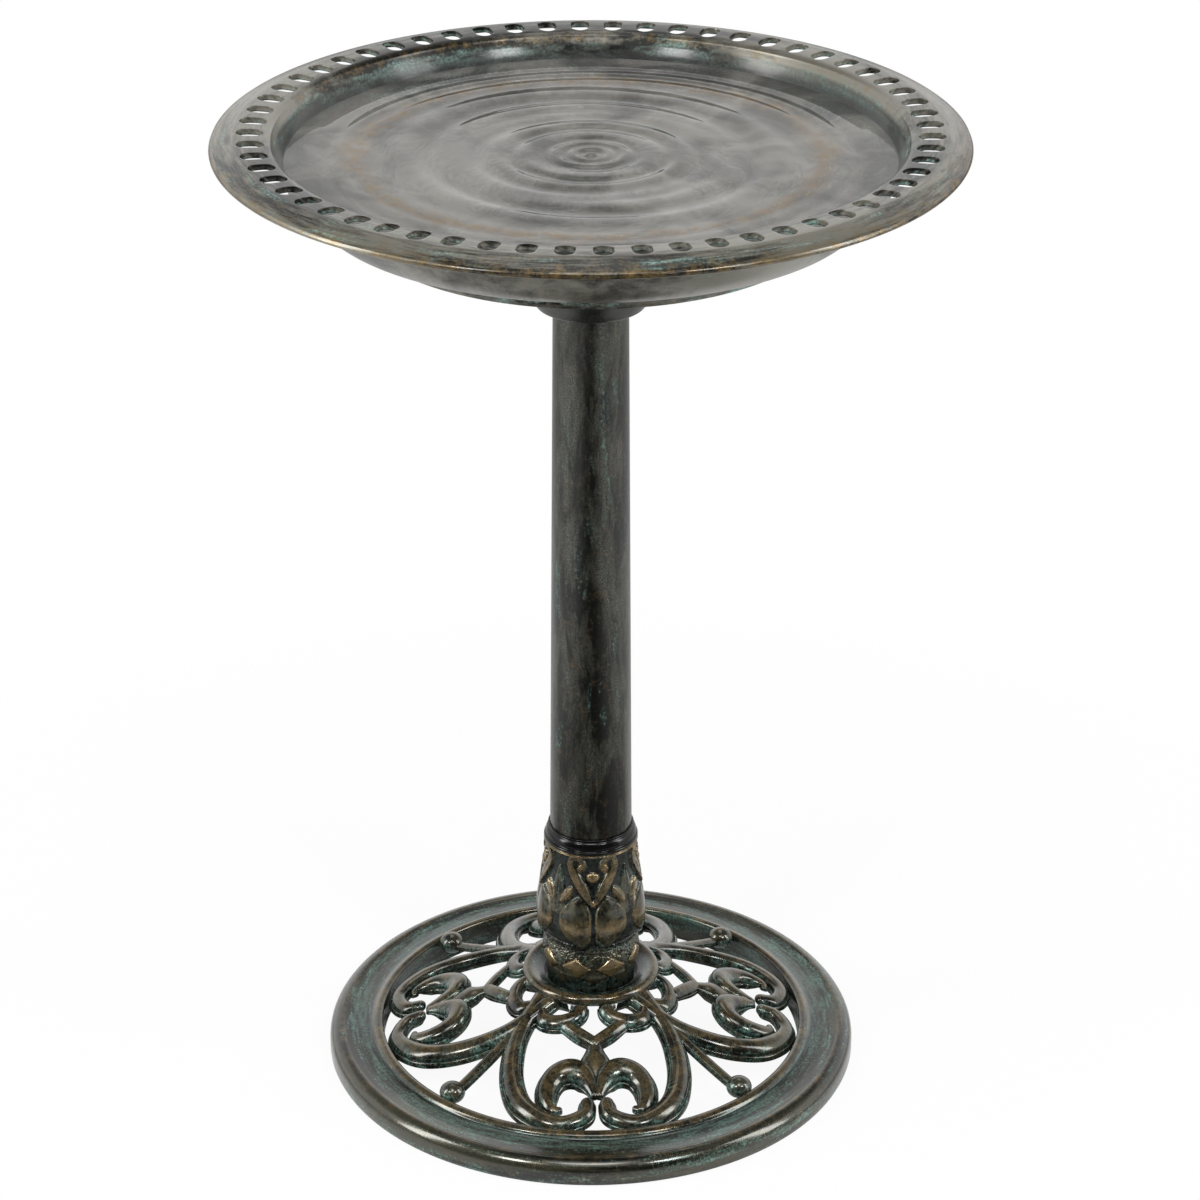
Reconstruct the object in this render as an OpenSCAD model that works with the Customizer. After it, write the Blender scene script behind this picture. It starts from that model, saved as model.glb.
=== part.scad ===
// Pedestal bird bath: a slotted basin that screws onto a tapered column, with a
// lotus collar around the column's foot and an openwork base of scrolls in a ring.
// Millimetres. +Z is up, the ground is z = 0 and the column stands on the Z axis.

/* [Overall] */
// Diameter of the basin over its rim
basin_d = 508; // [440:2:600]
// Height of the rim's crown above the ground
overall_h = 713; // [600:1:860]
// Diameter of the base ring
base_d = 389; // [330:1:460]

/* [Basin] */
// Thickness of the basin's wall and floor
basin_wall = 5; // [4:0.5:7]
// Depth of the basin from the rim's crown to the underside of its floor
basin_depth = 68; // [60:1:80]
// Depth from the rim's crown to the crease of the upper wall
tier_depth = 51.5; // [44:0.5:54]
// Width of the flat rim, from the inner wall's top to the outer edge
rim_w = 42; // [38:1:48]
// Thickness of the rim
rim_t = 4; // [3:0.5:6]
// Thickness of the rim's turned-down lip
lip_t = 4; // [3:0.5:5]
// Run of the upper wall, from the rim's inner edge in to the crease
upper_wall_run = 29; // [24:1:34]
// Width of the step between the crease and the lower tier
tier_step = 27; // [20:1:32]
// Number of drain slots round the rim
slot_count = 60; // [40:1:64]
// Width of a slot round the rim
slot_w = 13.2; // [8:0.2:15]
// Length of a slot along the radius
slot_l = 18.6; // [16:0.1:20]
// Distance of the slots from the rim's inner edge
slot_inset = 5.4; // [4:0.2:8]
// Turn of the ring of slots about the column, in degrees
slot_turn = 2; // [0:0.5:6]
// Thickness of the pad under the floor that the mount's screws bite into
pad_t = 9; // [8:0.5:12]

/* [Basin screw mount] */
// Radius of the mount's flange under the basin
flange_r = 70; // [66:1:80]
// Thickness of the mount's flange
mount_flange_t = 5; // [4:0.5:6]
// Outer radius of the mount's skirt at its lower lip
skirt_r = 38; // [36:0.5:44]
// Thickness of the skirt at its lower lip
skirt_wall = 2.5; // [2:0.5:3]
// How far the skirt reaches below the tube's upper end
skirt_drop = 11.5; // [8:0.5:20]
// Thickness of the socket's roof
roof_t = 3; // [2.5:0.5:5]
// Thickness of the gasket between the spigot and the socket's roof
gasket_t = 3; // [2:0.5:4]
// Radius of the column head's spigot
spigot_r = 20; // [17:0.5:22]
// Height of the spigot above the tube's upper end
spigot_h = 30; // [28:1:34]
// Thickness of the column head's shoulder on the tube's end
shoulder_t = 3.5; // [3:0.5:5]
// Diameter of the lugs on the spigot
lug_d = 5; // [4:0.5:6]
// Thickness of the socket's wall outside the lug grooves
socket_wall = 5.8; // [4:0.2:7]
// How far the lug grooves go into the socket's wall
groove_depth = 4.6; // [4:0.2:5]
// Turn that frees the basin, in degrees
unscrew_angle = 120; // [112:2:120]
// Height the basin climbs over that turn
unscrew_rise = 15; // [15:0.5:18]
// Radius of the circle of the mount's screws
screw_circle_r = 58; // [54:1:60]

/* [Column] */
// Outer radius of the column tube at its upper end
tube_top_r = 26; // [24:0.5:28]
// Outer radius of the column tube at its lower end
tube_foot_r = 30.8; // [28:0.1:31]
// Thickness of the tube's wall
tube_wall = 3; // [2:0.5:4]
// Length of the head plug inside the tube
head_plug_l = 40; // [30:1:60]
// Height of the hub's boss that the foot plug stands on
foot_boss_h = 8; // [4:1:12]
// Height of the foot plug inside the tube
foot_plug_h = 24; // [18:1:40]

/* [Collar] */
// How far the lotus bulb swells out from the tube's foot
bulb_out = 10.4; // [9.6:0.2:14]
// Height of the collar above the neck ring
collar_h = 81; // [66:1:98]
// Height of the neck ring
neck_h = 39; // [36:1:47]
// Number of petals round the collar
petal_count = 8; // [6:1:10]
// Height of the petals' and scrolls' relief
relief_h = 2; // [1:0.2:2.4]

/* [Base] */
// Width of the flat ring
ring_w = 40; // [34:1:48]
// Height of the ring's inner bead
ring_h = 21.5; // [18:0.5:26]
// Rise of the scrollwork's dome from the ring to the hub
dome_h = 37.5; // [33:0.5:40]
// How far the hub under the saucer stands out from the tube's foot
hub_out = 15.2; // [13:0.2:17]
// How far the saucer's rim stands out from the hub
saucer_out = 4.3; // [3:0.1:6]
// Height of the saucer's rim above its floor
saucer_depth = 10; // [8:0.5:12]
// Height of the saucer's floor above the ground
saucer_floor = 54; // [52:0.5:58]
// Thickness of the hub under the saucer
hub_t = 10; // [8:0.5:12]
// Width of the outer scrolls' raised rib
rib_w = 14; // [12:0.5:15.5]
// Diameter of the balls at the spokes' ends
ball_d = 18.6; // [15:0.2:20]
// How far the scrolls' flange stands out on each side of the rib
flange_out = 1.2; // [0.6:0.1:2]
// Turn of the scroll pattern about the column, in degrees
scroll_turn = 2; // [0:0.1:5]

/* [Fasteners] */
// Radius of the base bolt's shank
bolt_r = 4; // [3:0.5:5]
// Width of the base bolt's head and nut across their flats
hex_af = 13; // [10:1:17]
// Thickness of the base bolt's head
bolt_head_h = 5.3; // [4:0.1:6.5]
// Thickness of the base nut
nut_h = 6.8; // [5:0.1:8]
// Radius of the washer under the hub
washer_r = 12; // [10:0.5:15]
// Thickness of the washer under the hub
washer_t = 1.6; // [1.2:0.2:2.5]
// Radius of the mount screws' shanks
screw_r = 2; // [1.5:0.25:2.5]
// Height of the mount screws' heads
screw_head_h = 3; // [2:0.5:4]
// Depth the mount screws bite into the basin's pad
screw_bite = 11; // [8:0.5:11]

/* [Fits] */
// Radial clearance of the spigot in the mount's socket
socket_gap = 0.5; // [0.3:0.1:0.8]
// Clearance round a lug in its groove
lug_gap = 0.5; // [0.4:0.1:0.8]
// Radial clearance between the tube and the plugs in its ends
plug_gap = 0.1; // [0.05:0.05:0.2]
// Radial clearance of the collar parts round the tube
sleeve_gap = 0.1; // [0.1:0.05:0.3]
// Radial clearance of a screw or bolt in its hole
bolt_gap = 0.3; // [0.2:0.05:0.5]
// Clearance of the nut in its pocket, across the flats
nut_gap = 0.2; // [0.1:0.1:0.4]

/* [Hidden] */
$fn = 96;

// basin, measured down from the rim's crown
basin_r = basin_d / 2;
crown_z = overall_h;
floor_z = crown_z - basin_depth;
crease_z = crown_z - tier_depth;
well_r = basin_r - rim_w;
crease_r = well_r - upper_wall_run;
tier_r = crease_r - tier_step;
slot_in_r = well_r + slot_inset;
pad_z = floor_z - pad_t;

// screw mount
roof_z = pad_z - roof_t;
socket_r = spigot_r + socket_gap;
groove_r = socket_r + groove_depth;
hub_wall_r = groove_r + socket_wall;
spigot_top = roof_z - gasket_t;
tube_top = spigot_top - spigot_h;
shoulder_z = tube_top + shoulder_t;
lug_z = tube_top + spigot_h / 2;
lug_count = 3;
lug_step = 9;
lug_entry = 8;

// column and collar
tube_len = tube_top - saucer_floor;
foot_plug_z = saucer_floor + foot_boss_h;
foot_plug_top = foot_plug_z + foot_plug_h;
nut_z = foot_plug_top - nut_h - 1;
neck_top = saucer_floor + neck_h;
collar_top = neck_top + collar_h;
sleeve_r = tube_foot_r + sleeve_gap;
bulb_r = tube_foot_r + bulb_out;
lip_r = tube_foot_r + 4;

// base
ring_r = base_d / 2;
ring_in = ring_r - ring_w;
hub_r = tube_foot_r + hub_out;
reach = ring_in - hub_r;
hub_z = saucer_floor - hub_t;
saucer_r = hub_r + saucer_out;
saucer_z = saucer_floor + saucer_depth;

// Outer radius of the column tube at height z
function tube_r(z) = tube_foot_r + (tube_top_r - tube_foot_r) * (z - saucer_floor) / tube_len;

// Crest height of the domed scrollwork at radius r
function dome(r) = ring_h - 0.5 + dome_h * pow(max(ring_in - r, 0) / (reach - 3), 1.21);

// ---- curves ----

// Point i of list p, with the ends carried on in a straight line
function ctrl(p, i) = i < 0 ? 2 * p[0] - p[1]
    : i >= len(p) ? 2 * p[len(p) - 1] - p[len(p) - 2]
    : p[i];

// Point of a smooth curve through p, at fraction t of span i
function on_span(p, i, t) = 0.5 * (2 * ctrl(p, i)
    + (ctrl(p, i + 1) - ctrl(p, i - 1)) * t
    + (2 * ctrl(p, i - 1) - 5 * ctrl(p, i) + 4 * ctrl(p, i + 1) - ctrl(p, i + 2)) * t * t
    + (3 * ctrl(p, i) - ctrl(p, i - 1) - 3 * ctrl(p, i + 1) + ctrl(p, i + 2)) * t * t * t);

// Smooth curve through p with n steps in each span
function curve(p, n) = concat([for (i = [0:len(p) - 2], j = [0:n - 1]) on_span(p, i, j / n)],
    [p[len(p) - 1]]);

// Unit normal of path c at point i
function normal(c, i) = let (a = c[max(i - 1, 0)], b = c[min(i + 1, len(c) - 1)],
    d = [b[0] - a[0], b[1] - a[1]]) [-d[1], d[0]] / norm(d);

// Edge point of path c at i; each path point is [x, y, width]
function edge(c, i, side, grow) = [c[i][0], c[i][1]] + side * normal(c, i) * (c[i][2] / 2 + grow);

// End point p of a path carried on by distance d, away from its neighbour q
function carried(p, q, d) = p + [p[0] - q[0], p[1] - q[1], 0] * d / norm([p[0] - q[0], p[1] - q[1]]);

// Arc of n + 1 points
function arc(cx, cy, r, from, to, n) = [for (i = [0:n])
    let (a = from + (to - from) * i / n) [cx + r * cos(a), cy + r * sin(a)]];

// Outline of a band along path, with a round far end if tip is true, grown all round
module band(path, grow = 0, tip = false) {
    last = len(path) - 1;
    c = concat([carried(path[0], path[1], grow)], [for (i = [1:last - 1]) path[i]],
        [carried(path[last], path[last - 1], tip ? 0 : grow)]);
    across = normal(c, last);
    turn = atan2(across[1], across[0]);
    far_end = tip ? arc(c[last][0], c[last][1], c[last][2] / 2 + grow, turn, turn - 180, 6)
        : [edge(c, last, 1, grow), edge(c, last, -1, grow)];
    polygon(concat([for (i = [0:last - 1]) edge(c, i, 1, grow)], far_end,
        [for (i = [last - 1:-1:0]) edge(c, i, -1, grow)]));
}

// ---- basin ----

// Half section of the basin's shell: outside from the axis to the lip, then back inside
module basin_section() {
    inner_tier_r = tier_r - basin_wall + 2;
    polygon(concat(
        [[0, pad_z], [flange_r + 2, pad_z], [flange_r + 3, floor_z], [tier_r - 2, floor_z]],
        [[tier_r, floor_z + 2], [tier_r + 4, crease_z - 2]],
        curve([[crease_r, crease_z], [crease_r + 3, crease_z + 0.8], [well_r - 17, crown_z - 42],
            [well_r - 5, crown_z - 24], [well_r + 2.5, crown_z - rim_t - 4.5],
            [well_r + 8, crown_z - rim_t - 0.6], [well_r + 22, crown_z - rim_t]], 2),
        curve([[basin_r - 14, crown_z - rim_t - 0.7], [basin_r - 7, crown_z - rim_t - 2.8],
            [basin_r - lip_t - 0.6, crown_z - 9]], 2),
        arc(basin_r - lip_t / 2, crown_z - 7.6, lip_t / 2, 216, 360, 4),
        curve([[basin_r - 0.9, crown_z - 5.6], [basin_r - 4, crown_z - 3.8], [basin_r - 14, crown_z - 0.7],
            [basin_r - 19, crown_z], [well_r + 13, crown_z - 0.2], [well_r + 5, crown_z - 1],
            [well_r + 1.4, crown_z - 2.6]], 2),
        curve([[well_r, crown_z - 4.6], [well_r - 10, crown_z - 22],
            [well_r - 23, crown_z - 40], [well_r - 34, crown_z - 46.5]], 2),
        [[tier_r + 5, crease_z + 4], [tier_r + 1.5, crease_z + 2.5]],
        [[inner_tier_r, floor_z + basin_wall + 3], [inner_tier_r - 4, floor_z + basin_wall]],
        [[0, floor_z + basin_wall]]));
}

// Slot through the rim, round at both ends
module slot_outline() {
    translate([slot_in_r + slot_w / 2, -slot_w / 2])
        square([slot_l - slot_w, slot_w]);
    for (x = [slot_w / 2, slot_l - slot_w / 2])
        translate([slot_in_r + x, 0])
            circle(d = slot_w);
}

module basin() {
    color([0.30, 0.34, 0.32])
    difference() {
        rotate_extrude()
            basin_section();
        for (i = [0:slot_count - 1])
            rotate(slot_turn + i * 360 / slot_count)
                translate([0, 0, crown_z - rim_t - 6])
                    linear_extrude(rim_t + 8)
                        slot_outline();
        mount_screw_places()
            translate([0, 0, pad_z - 1])
                cylinder(r = screw_r + 0.05, h = screw_bite + 2);
    }
}

// ---- screw mount under the basin ----

// The four places of the mount's screws
module mount_screw_places() {
    for (i = [0:3])
        rotate(45 + 90 * i)
            translate([screw_circle_r, 0, 0])
                children();
}

// Half section of the mount: flange, flared skirt and the socket's hub
module mount_section() {
    web_z = tube_top + 12;
    lip_z = tube_top - skirt_drop;
    hub_end = shoulder_z + 0.6;
    polygon([[0, roof_z], [socket_r, roof_z], [socket_r, hub_end], [hub_wall_r, hub_end],
        [hub_wall_r, web_z + 2], [skirt_r - skirt_wall, web_z], [skirt_r - skirt_wall, lip_z],
        [skirt_r - 0.6, lip_z], [skirt_r, lip_z + 0.7], [skirt_r + 1, lip_z + 5.5],
        [skirt_r + 6, pad_z - mount_flange_t - 4], [skirt_r + 11, pad_z - mount_flange_t],
        [flange_r, pad_z - mount_flange_t], [flange_r, pad_z], [0, pad_z]]);
}

// Point at radius r and angle a
function polar(r, a) = [r * cos(a), r * sin(a)];

// Wedges that step down a helix from angle a, for one lug's groove, open at the hub's lower edge
module lug_steps(a) {
    rise = unscrew_rise / unscrew_angle;
    swing = lug_step / 2 + asin(lug_d / 2 / spigot_r) + 1.5;
    half_h = lug_d / 2 + lug_gap + swing * rise;
    for (i = [0:ceil((unscrew_angle + lug_entry) / lug_step)]) {
        from = a + lug_entry - lug_step * (i + 1);
        to = from + lug_step + 0.2;
        translate([0, 0, lug_z - max(lug_step * (i + 0.5) - lug_entry, 0) * rise - half_h])
            linear_extrude(2 * half_h)
                polygon([polar(socket_r - 5, from), polar(groove_r + 10, from),
                    polar(groove_r + 10, to), polar(socket_r - 5, to)]);
    }
}

module basin_mount() {
    color([0.10, 0.11, 0.10])
    difference() {
        rotate_extrude()
            mount_section();
        intersection() {
            translate([0, 0, tube_top - 5])
                cylinder(r = groove_r, h = spigot_h + 5);
            union()
                for (i = [0:lug_count - 1])
                    lug_steps(i * 360 / lug_count);
        }
        mount_screw_places()
            translate([0, 0, pad_z - mount_flange_t - 1])
                cylinder(r = screw_r + bolt_gap, h = mount_flange_t + 2);
    }
}

module mount_screws() {
    color("silver")
    mount_screw_places()
        translate([0, 0, pad_z - mount_flange_t - screw_head_h])
            difference() {
                union() {
                    cylinder(r = 2 * screw_r, h = screw_head_h);
                    cylinder(r = screw_r, h = screw_head_h + mount_flange_t + screw_bite);
                }
                for (a = [0, 90])
                    rotate(a)
                        translate([-2.4, -0.5, -0.1])
                            cube([4.8, 1, 1.7]);
            }
}

module basin_gasket() {
    color([0.08, 0.08, 0.08])
    translate([0, 0, spigot_top])
        difference() {
            cylinder(r = spigot_r - 0.5, h = gasket_t);
            translate([0, 0, -1])
                cylinder(r = 8, h = gasket_t + 2);
        }
}

// ---- column ----

module column_head() {
    plug_r = tube_top_r - tube_wall - plug_gap;
    color([0.12, 0.12, 0.12])
    difference() {
        union() {
            translate([0, 0, tube_top - head_plug_l])
                cylinder(r = plug_r, h = head_plug_l + 1);
            translate([0, 0, tube_top])
                cylinder(r = tube_top_r - 0.4, h = shoulder_t);
            translate([0, 0, tube_top])
                cylinder(r = spigot_r, h = spigot_h);
            for (i = [0:lug_count - 1])
                rotate(i * 360 / lug_count)
                    translate([spigot_r - 3, 0, lug_z])
                        rotate([0, 90, 0])
                            cylinder(d = lug_d, h = groove_r - lug_gap - spigot_r + 3);
        }
        translate([0, 0, tube_top - head_plug_l - 1])
            cylinder(r = 8, h = head_plug_l + spigot_h + 2);
    }
}

module column_tube() {
    color([0.15, 0.17, 0.16])
    rotate_extrude()
        polygon([[tube_foot_r - tube_wall, saucer_floor], [tube_foot_r, saucer_floor],
            [tube_top_r, tube_top], [tube_top_r - tube_wall, tube_top]]);
}

module column_foot() {
    color([0.12, 0.12, 0.12])
    difference() {
        translate([0, 0, foot_plug_z])
            cylinder(r = tube_r(foot_plug_top) - tube_wall - plug_gap, h = foot_plug_h);
        translate([0, 0, foot_plug_z - 1])
            cylinder(r = bolt_r + bolt_gap, h = foot_plug_h + 2);
        translate([0, 0, nut_z])
            cylinder(r = (hex_af + nut_gap) / sqrt(3), h = nut_h + 2, $fn = 6);
    }
}

// ---- collar, its ring and the neck ring ----

// Points of the collar's outline, from the top edge down, sunk by the relief
function lotus_profile(relief) = [for (p = [[lip_r - 1.3, 1], [lip_r, 0.97], [lip_r, 0.91],
    [lip_r + 0.5, 0.8], [lip_r + 1.3, 0.71], [bulb_r - 2.6, 0.5], [bulb_r - 0.6, 0.37],
    [bulb_r, 0.26], [bulb_r - 0.6, 0.15], [bulb_r - 3.6, 0.05], [bulb_r - 6.2 + relief * 0.5, 0]])
    [p[0] - relief, neck_top + p[1] * collar_h]];

// Solid of revolution out to the collar's surface, less the relief
module lotus_body(relief) {
    rotate_extrude()
        polygon(concat([[sleeve_r, neck_top], [sleeve_r, collar_top]],
            curve(lotus_profile(relief), 2)));
}

// Prism that carries an outline drawn on [around, height] outward at angle a
module outward(a) {
    rotate([90, 0, a + 90])
        translate([0, 0, tube_foot_r + 1])
            linear_extrude(20)
                children();
}

// Pointed petal, its foot on z = 0
module petal_outline(w, h) {
    side = curve([[0, h], [0.24 * w, 0.74 * h], [0.48 * w, 0.42 * h], [0.46 * w, 0.16 * h],
        [0.3 * w, 0]], 3);
    polygon(concat(side, [for (i = [len(side) - 1:-1:1]) [-side[i][0], side[i][1]]]));
}

// One side of the lyre above the petals: a stem that rises and rolls into a volute
module lyre_side() {
    band(curve([for (p = [[-8.6, 0.5, 3.6], [-4.5, 0.58, 5], [-0.2, 0.667, 5.6], [3.9, 0.75, 5.4],
        [8.8, 0.85, 4.6], [9.6, 0.925, 3.8], [5, 0.955, 3.4], [0.4, 0.935, 3.4], [-1.2, 0.87, 4.6]])
        [p[0], p[1] * collar_h, p[2]]], 2));
}

module collar() {
    petal_w = 2 * PI * bulb_r / petal_count - 2.4;
    color([0.24, 0.27, 0.22])
    union() {
        lotus_body(relief_h);
        for (i = [0:petal_count - 1])
            intersection() {
                lotus_body(0);
                outward((i + 0.5) * 360 / petal_count)
                    translate([0, neck_top + 1])
                        petal_outline(petal_w, 0.53 * collar_h);
            }
        for (i = [0:3], s = [0, 1])
            intersection() {
                lotus_body(0.4);
                outward(90 * i + (1 - 2 * s) * 16)
                    translate([0, neck_top])
                        mirror([s, 0])
                            lyre_side();
            }
    }
}

// Rounded black trim ring between the tube and the collar's top edge
module collar_ring() {
    bore_r = tube_r(collar_top) + sleeve_gap;
    color([0.03, 0.03, 0.03])
    rotate_extrude()
        polygon(concat([[bore_r, collar_top], [lip_r - 1.5, collar_top]],
            curve([[lip_r - 0.6, collar_top + 1.4], [lip_r - 1, collar_top + 5],
                [lip_r - 2.8, collar_top + 9.5], [bore_r + 1.2, collar_top + 11.3],
                [bore_r, collar_top + 11.6]], 3)));
}

// Section of the neck ring that carries the collar, less the relief of its facets
module neck_section(relief) {
    polygon(concat([[sleeve_r, saucer_floor], [sleeve_r, neck_top], [sleeve_r + 2.4, neck_top]],
        curve([for (p = [[4, 2], [5.7, 6], [6.2, 10], [5.8, 14], [4.4, 21], [3.4, 29], [3.2, neck_h]])
            [tube_foot_r + p[0] - relief, neck_top - p[1]]], 2)));
}

module neck_ring() {
    facet_z = neck_top - 13;
    color([0.16, 0.18, 0.16])
    union() {
        rotate_extrude()
            neck_section(1.2);
        intersection() {
            rotate_extrude()
                neck_section(0);
            union()
                for (i = [0:petal_count - 1])
                    outward((i + 0.5) * 360 / petal_count)
                        polygon([[0, facet_z + 7.6], [13, facet_z], [0, facet_z - 7.6],
                            [-13, facet_z]]);
        }
    }
}

// ---- base ----

// Place in the scroll pattern: u across and t from the hub (0) to the ring (1)
function at(u, t, w) = [u * reach, hub_r + t * reach, w];

// Outer scroll: leaves the hub, bows out and rolls in against the ring
module big_scroll(grow) {
    band(curve([at(0.378, -0.09, rib_w - 2), at(0.5, 0.12, rib_w - 1), at(0.55, 0.305, rib_w),
        at(0.558, 0.5, rib_w + 0.5), at(0.512, 0.69, rib_w + 0.5), at(0.4, 0.83, rib_w - 0.5),
        at(0.267, 0.9, rib_w - 2), at(0.16, 0.885, rib_w - 2.5), at(0.084, 0.835, rib_w - 2.5),
        at(0.065, 0.76, rib_w - 3)], 2), grow, true);
}

// Inner curl of the heart between the two outer scrolls
module heart_curl(grow) {
    band(curve([at(0.018, 0.675, rib_w - 7), at(0.046, 0.59, rib_w - 2), at(0.097, 0.516, rib_w + 2),
        at(0.175, 0.488, rib_w + 3), at(0.263, 0.516, rib_w + 2.5), at(0.318, 0.59, rib_w + 1.5),
        at(0.332, 0.673, rib_w - 0.5), at(0.315, 0.747, rib_w - 4), at(0.278, 0.787, rib_w - 8)], 2),
        grow, true);
}

// Oval with straight sides, a little longer than it is high
module oval(r) {
    half = 5.2;
    translate([-half, -r])
        square([2 * half, 2 * r]);
    for (x = [-half, half])
        translate([x, 0])
            circle(r = r);
}

// Oval loop beside the hub, with an arm to the bud
module hub_loop(grow) {
    c = at(0.215, 0.023, 0);
    translate([c[0], c[1]])
        difference() {
            oval(14.2 + grow);
            oval(4.2 - grow * 0.5);
        }
    band(curve([at(0.189, 0.138, rib_w - 5.5), at(0.097, 0.217, rib_w - 4.5),
        at(0, 0.286, rib_w - 5)], 2), grow);
}

// Bud on the centre line, from the arms to the heart
module bud(grow) {
    band(curve([at(0, 0.27, rib_w - 9), at(0, 0.36, rib_w - 2), at(0, 0.42, rib_w + 6),
        at(0, 0.47, rib_w - 1), at(0, 0.525, rib_w - 10)], 2), grow);
}

// Straight spoke on the diagonal, with a ball against the ring
module spoke(grow) {
    rotate(45) {
        band([at(0, -0.04, rib_w - 6), at(0, 0.9, rib_w - 6)], grow);
        translate([0, hub_r + 0.925 * reach])
            circle(d = ball_d + grow);
    }
}

// One quarter of the scroll pattern, drawn along +Y
module quarter_plan(grow) {
    for (s = [0, 1])
        mirror([s, 0]) {
            big_scroll(grow);
            heart_curl(grow);
            hub_loop(grow);
        }
    bud(grow);
    spoke(grow);
}

// Section of the domed layer between two depths below the scrolls' crest
module dome_section(top, bottom) {
    r0 = hub_r - 4;
    r1 = ring_in + 3;
    n = 4;
    polygon(concat([for (i = [0:n]) let (r = r0 + (r1 - r0) * i / n) [r, dome(r) - top]],
        [for (i = [n:-1:0]) let (r = r0 + (r1 - r0) * i / n) [r, dome(r) - bottom]]));
}

// A quarter of the scrollwork: a raised rib on a wider flange
module quarter_scroll() {
    for (layer = [[0, 0, 5], [flange_out, 4.5, 9.5]])
        intersection() {
            linear_extrude(90)
                quarter_plan(layer[0]);
            rotate_extrude()
                dome_section(layer[1], layer[2]);
        }
}

// Flat ring that stands on the ground, with a bead inside and a rounded outer edge
module ring_section() {
    bead = ring_in + 3.9;
    shoulder = ring_r - 10;
    polygon(concat(
        [[ring_in, 0], [ring_in, ring_h - 2.5]],
        curve([[ring_in + 0.8, ring_h - 1.1], [bead, ring_h], [ring_in + 7, ring_h - 1.2],
            [ring_in + 8.6, ring_h - 3.2]], 2),
        [[ring_in + 10, ring_h - 3.9], [ring_in + 20, ring_h - 4.6], [shoulder - 2.5, ring_h - 3.9]],
        [[shoulder, ring_h - 3.2]],
        arc(shoulder, ring_h - 13.2, 10, 80, 0, 7),
        [[ring_r, 1.5], [ring_r - 1.5, 0]]));
}

// Hub and saucer that carry the column and the neck ring
module hub_section() {
    hole = bolt_r + bolt_gap;
    boss_r = tube_r(foot_plug_z) - tube_wall - plug_gap - 0.2;
    polygon(concat(
        [[hole, hub_z], [hub_r - 10, hub_z], [hub_r - 8, hub_z - 4], [hub_r, hub_z - 4]],
        curve([[hub_r + 0.5, saucer_z - 10], [saucer_r - 1.8, saucer_z - 5],
            [saucer_r, saucer_z - 1.5], [saucer_r - 0.6, saucer_z - 0.2], [saucer_r - 1.8, saucer_z],
            [saucer_r - 3, saucer_z - 1], [saucer_r - 5, saucer_z - 4.5],
            [saucer_r - 9, saucer_floor + 2], [saucer_r - 13, saucer_floor]], 2),
        [[boss_r, saucer_floor], [boss_r, foot_plug_z], [hole, foot_plug_z]]));
}

module base() {
    color([0.22, 0.24, 0.20])
    union() {
        rotate_extrude()
            ring_section();
        rotate_extrude()
            hub_section();
        for (i = [0:3])
            rotate(scroll_turn + 90 * i)
                quarter_scroll();
    }
}

// ---- fasteners in the base ----

module base_bolt() {
    color("silver")
    translate([0, 0, hub_z - washer_t - bolt_head_h])
        union() {
            cylinder(r = hex_af / sqrt(3), h = bolt_head_h, $fn = 6);
            cylinder(r = bolt_r, h = bolt_head_h + washer_t + hub_t + foot_boss_h + foot_plug_h + 4);
        }
}

module base_washer() {
    color("silver")
    translate([0, 0, hub_z - washer_t])
        difference() {
            cylinder(r = washer_r, h = washer_t);
            translate([0, 0, -1])
                cylinder(r = bolt_r + bolt_gap, h = washer_t + 2);
        }
}

module base_nut() {
    color("silver")
    translate([0, 0, nut_z])
        difference() {
            cylinder(r = hex_af / sqrt(3), h = nut_h, $fn = 6);
            translate([0, 0, -1])
                cylinder(r = bolt_r, h = nut_h + 2);
        }
}

basin();
basin_mount();
mount_screws();
basin_gasket();
column_head();
column_tube();
column_foot();
collar();
collar_ring();
neck_ring();
base();
base_bolt();
base_washer();
base_nut();
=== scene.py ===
# %% [markdown]
# # A pedestal bird bath in antique verdigris bronze
#
# The real one is cast in resin and painted: a dark bronze ground, green-blue patina
# rubbed into the hollows, and brassy paint rubbed off on everything that stands proud.
# It has a slotted basin with water in it, a tapered column, a lotus collar, and an
# openwork base of scrolls inside a flat ring. This file builds what the eye sees
# round the construction model, which gives every size and every moving body.

# %% Load the construction model
import math
import bmesh
import bpy
import numpy as np
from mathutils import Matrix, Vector


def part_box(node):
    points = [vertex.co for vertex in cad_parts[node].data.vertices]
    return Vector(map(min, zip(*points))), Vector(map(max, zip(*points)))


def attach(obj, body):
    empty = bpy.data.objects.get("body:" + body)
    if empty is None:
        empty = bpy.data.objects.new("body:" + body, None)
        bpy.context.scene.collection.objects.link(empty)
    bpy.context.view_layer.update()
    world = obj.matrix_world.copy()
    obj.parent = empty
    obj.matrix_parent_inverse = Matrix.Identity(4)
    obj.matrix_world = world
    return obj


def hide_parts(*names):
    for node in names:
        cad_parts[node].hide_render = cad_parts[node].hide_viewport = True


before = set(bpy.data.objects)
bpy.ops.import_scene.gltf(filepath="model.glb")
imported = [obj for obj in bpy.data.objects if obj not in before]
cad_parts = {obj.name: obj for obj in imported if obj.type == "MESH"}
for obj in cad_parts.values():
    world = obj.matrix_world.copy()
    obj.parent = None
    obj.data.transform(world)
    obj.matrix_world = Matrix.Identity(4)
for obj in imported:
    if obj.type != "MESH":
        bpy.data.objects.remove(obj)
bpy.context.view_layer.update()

# %% [markdown]
# ## Working in millimetres
#
# The basin's rim, the ring on the ground and the collar were all designed in
# millimetres, so this script keeps them in millimetres too and scales once, when a
# mesh is made. The sizes that matter come from the construction model's own boxes.

# %% Sizes taken from the construction model
MM = 0.001


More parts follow.
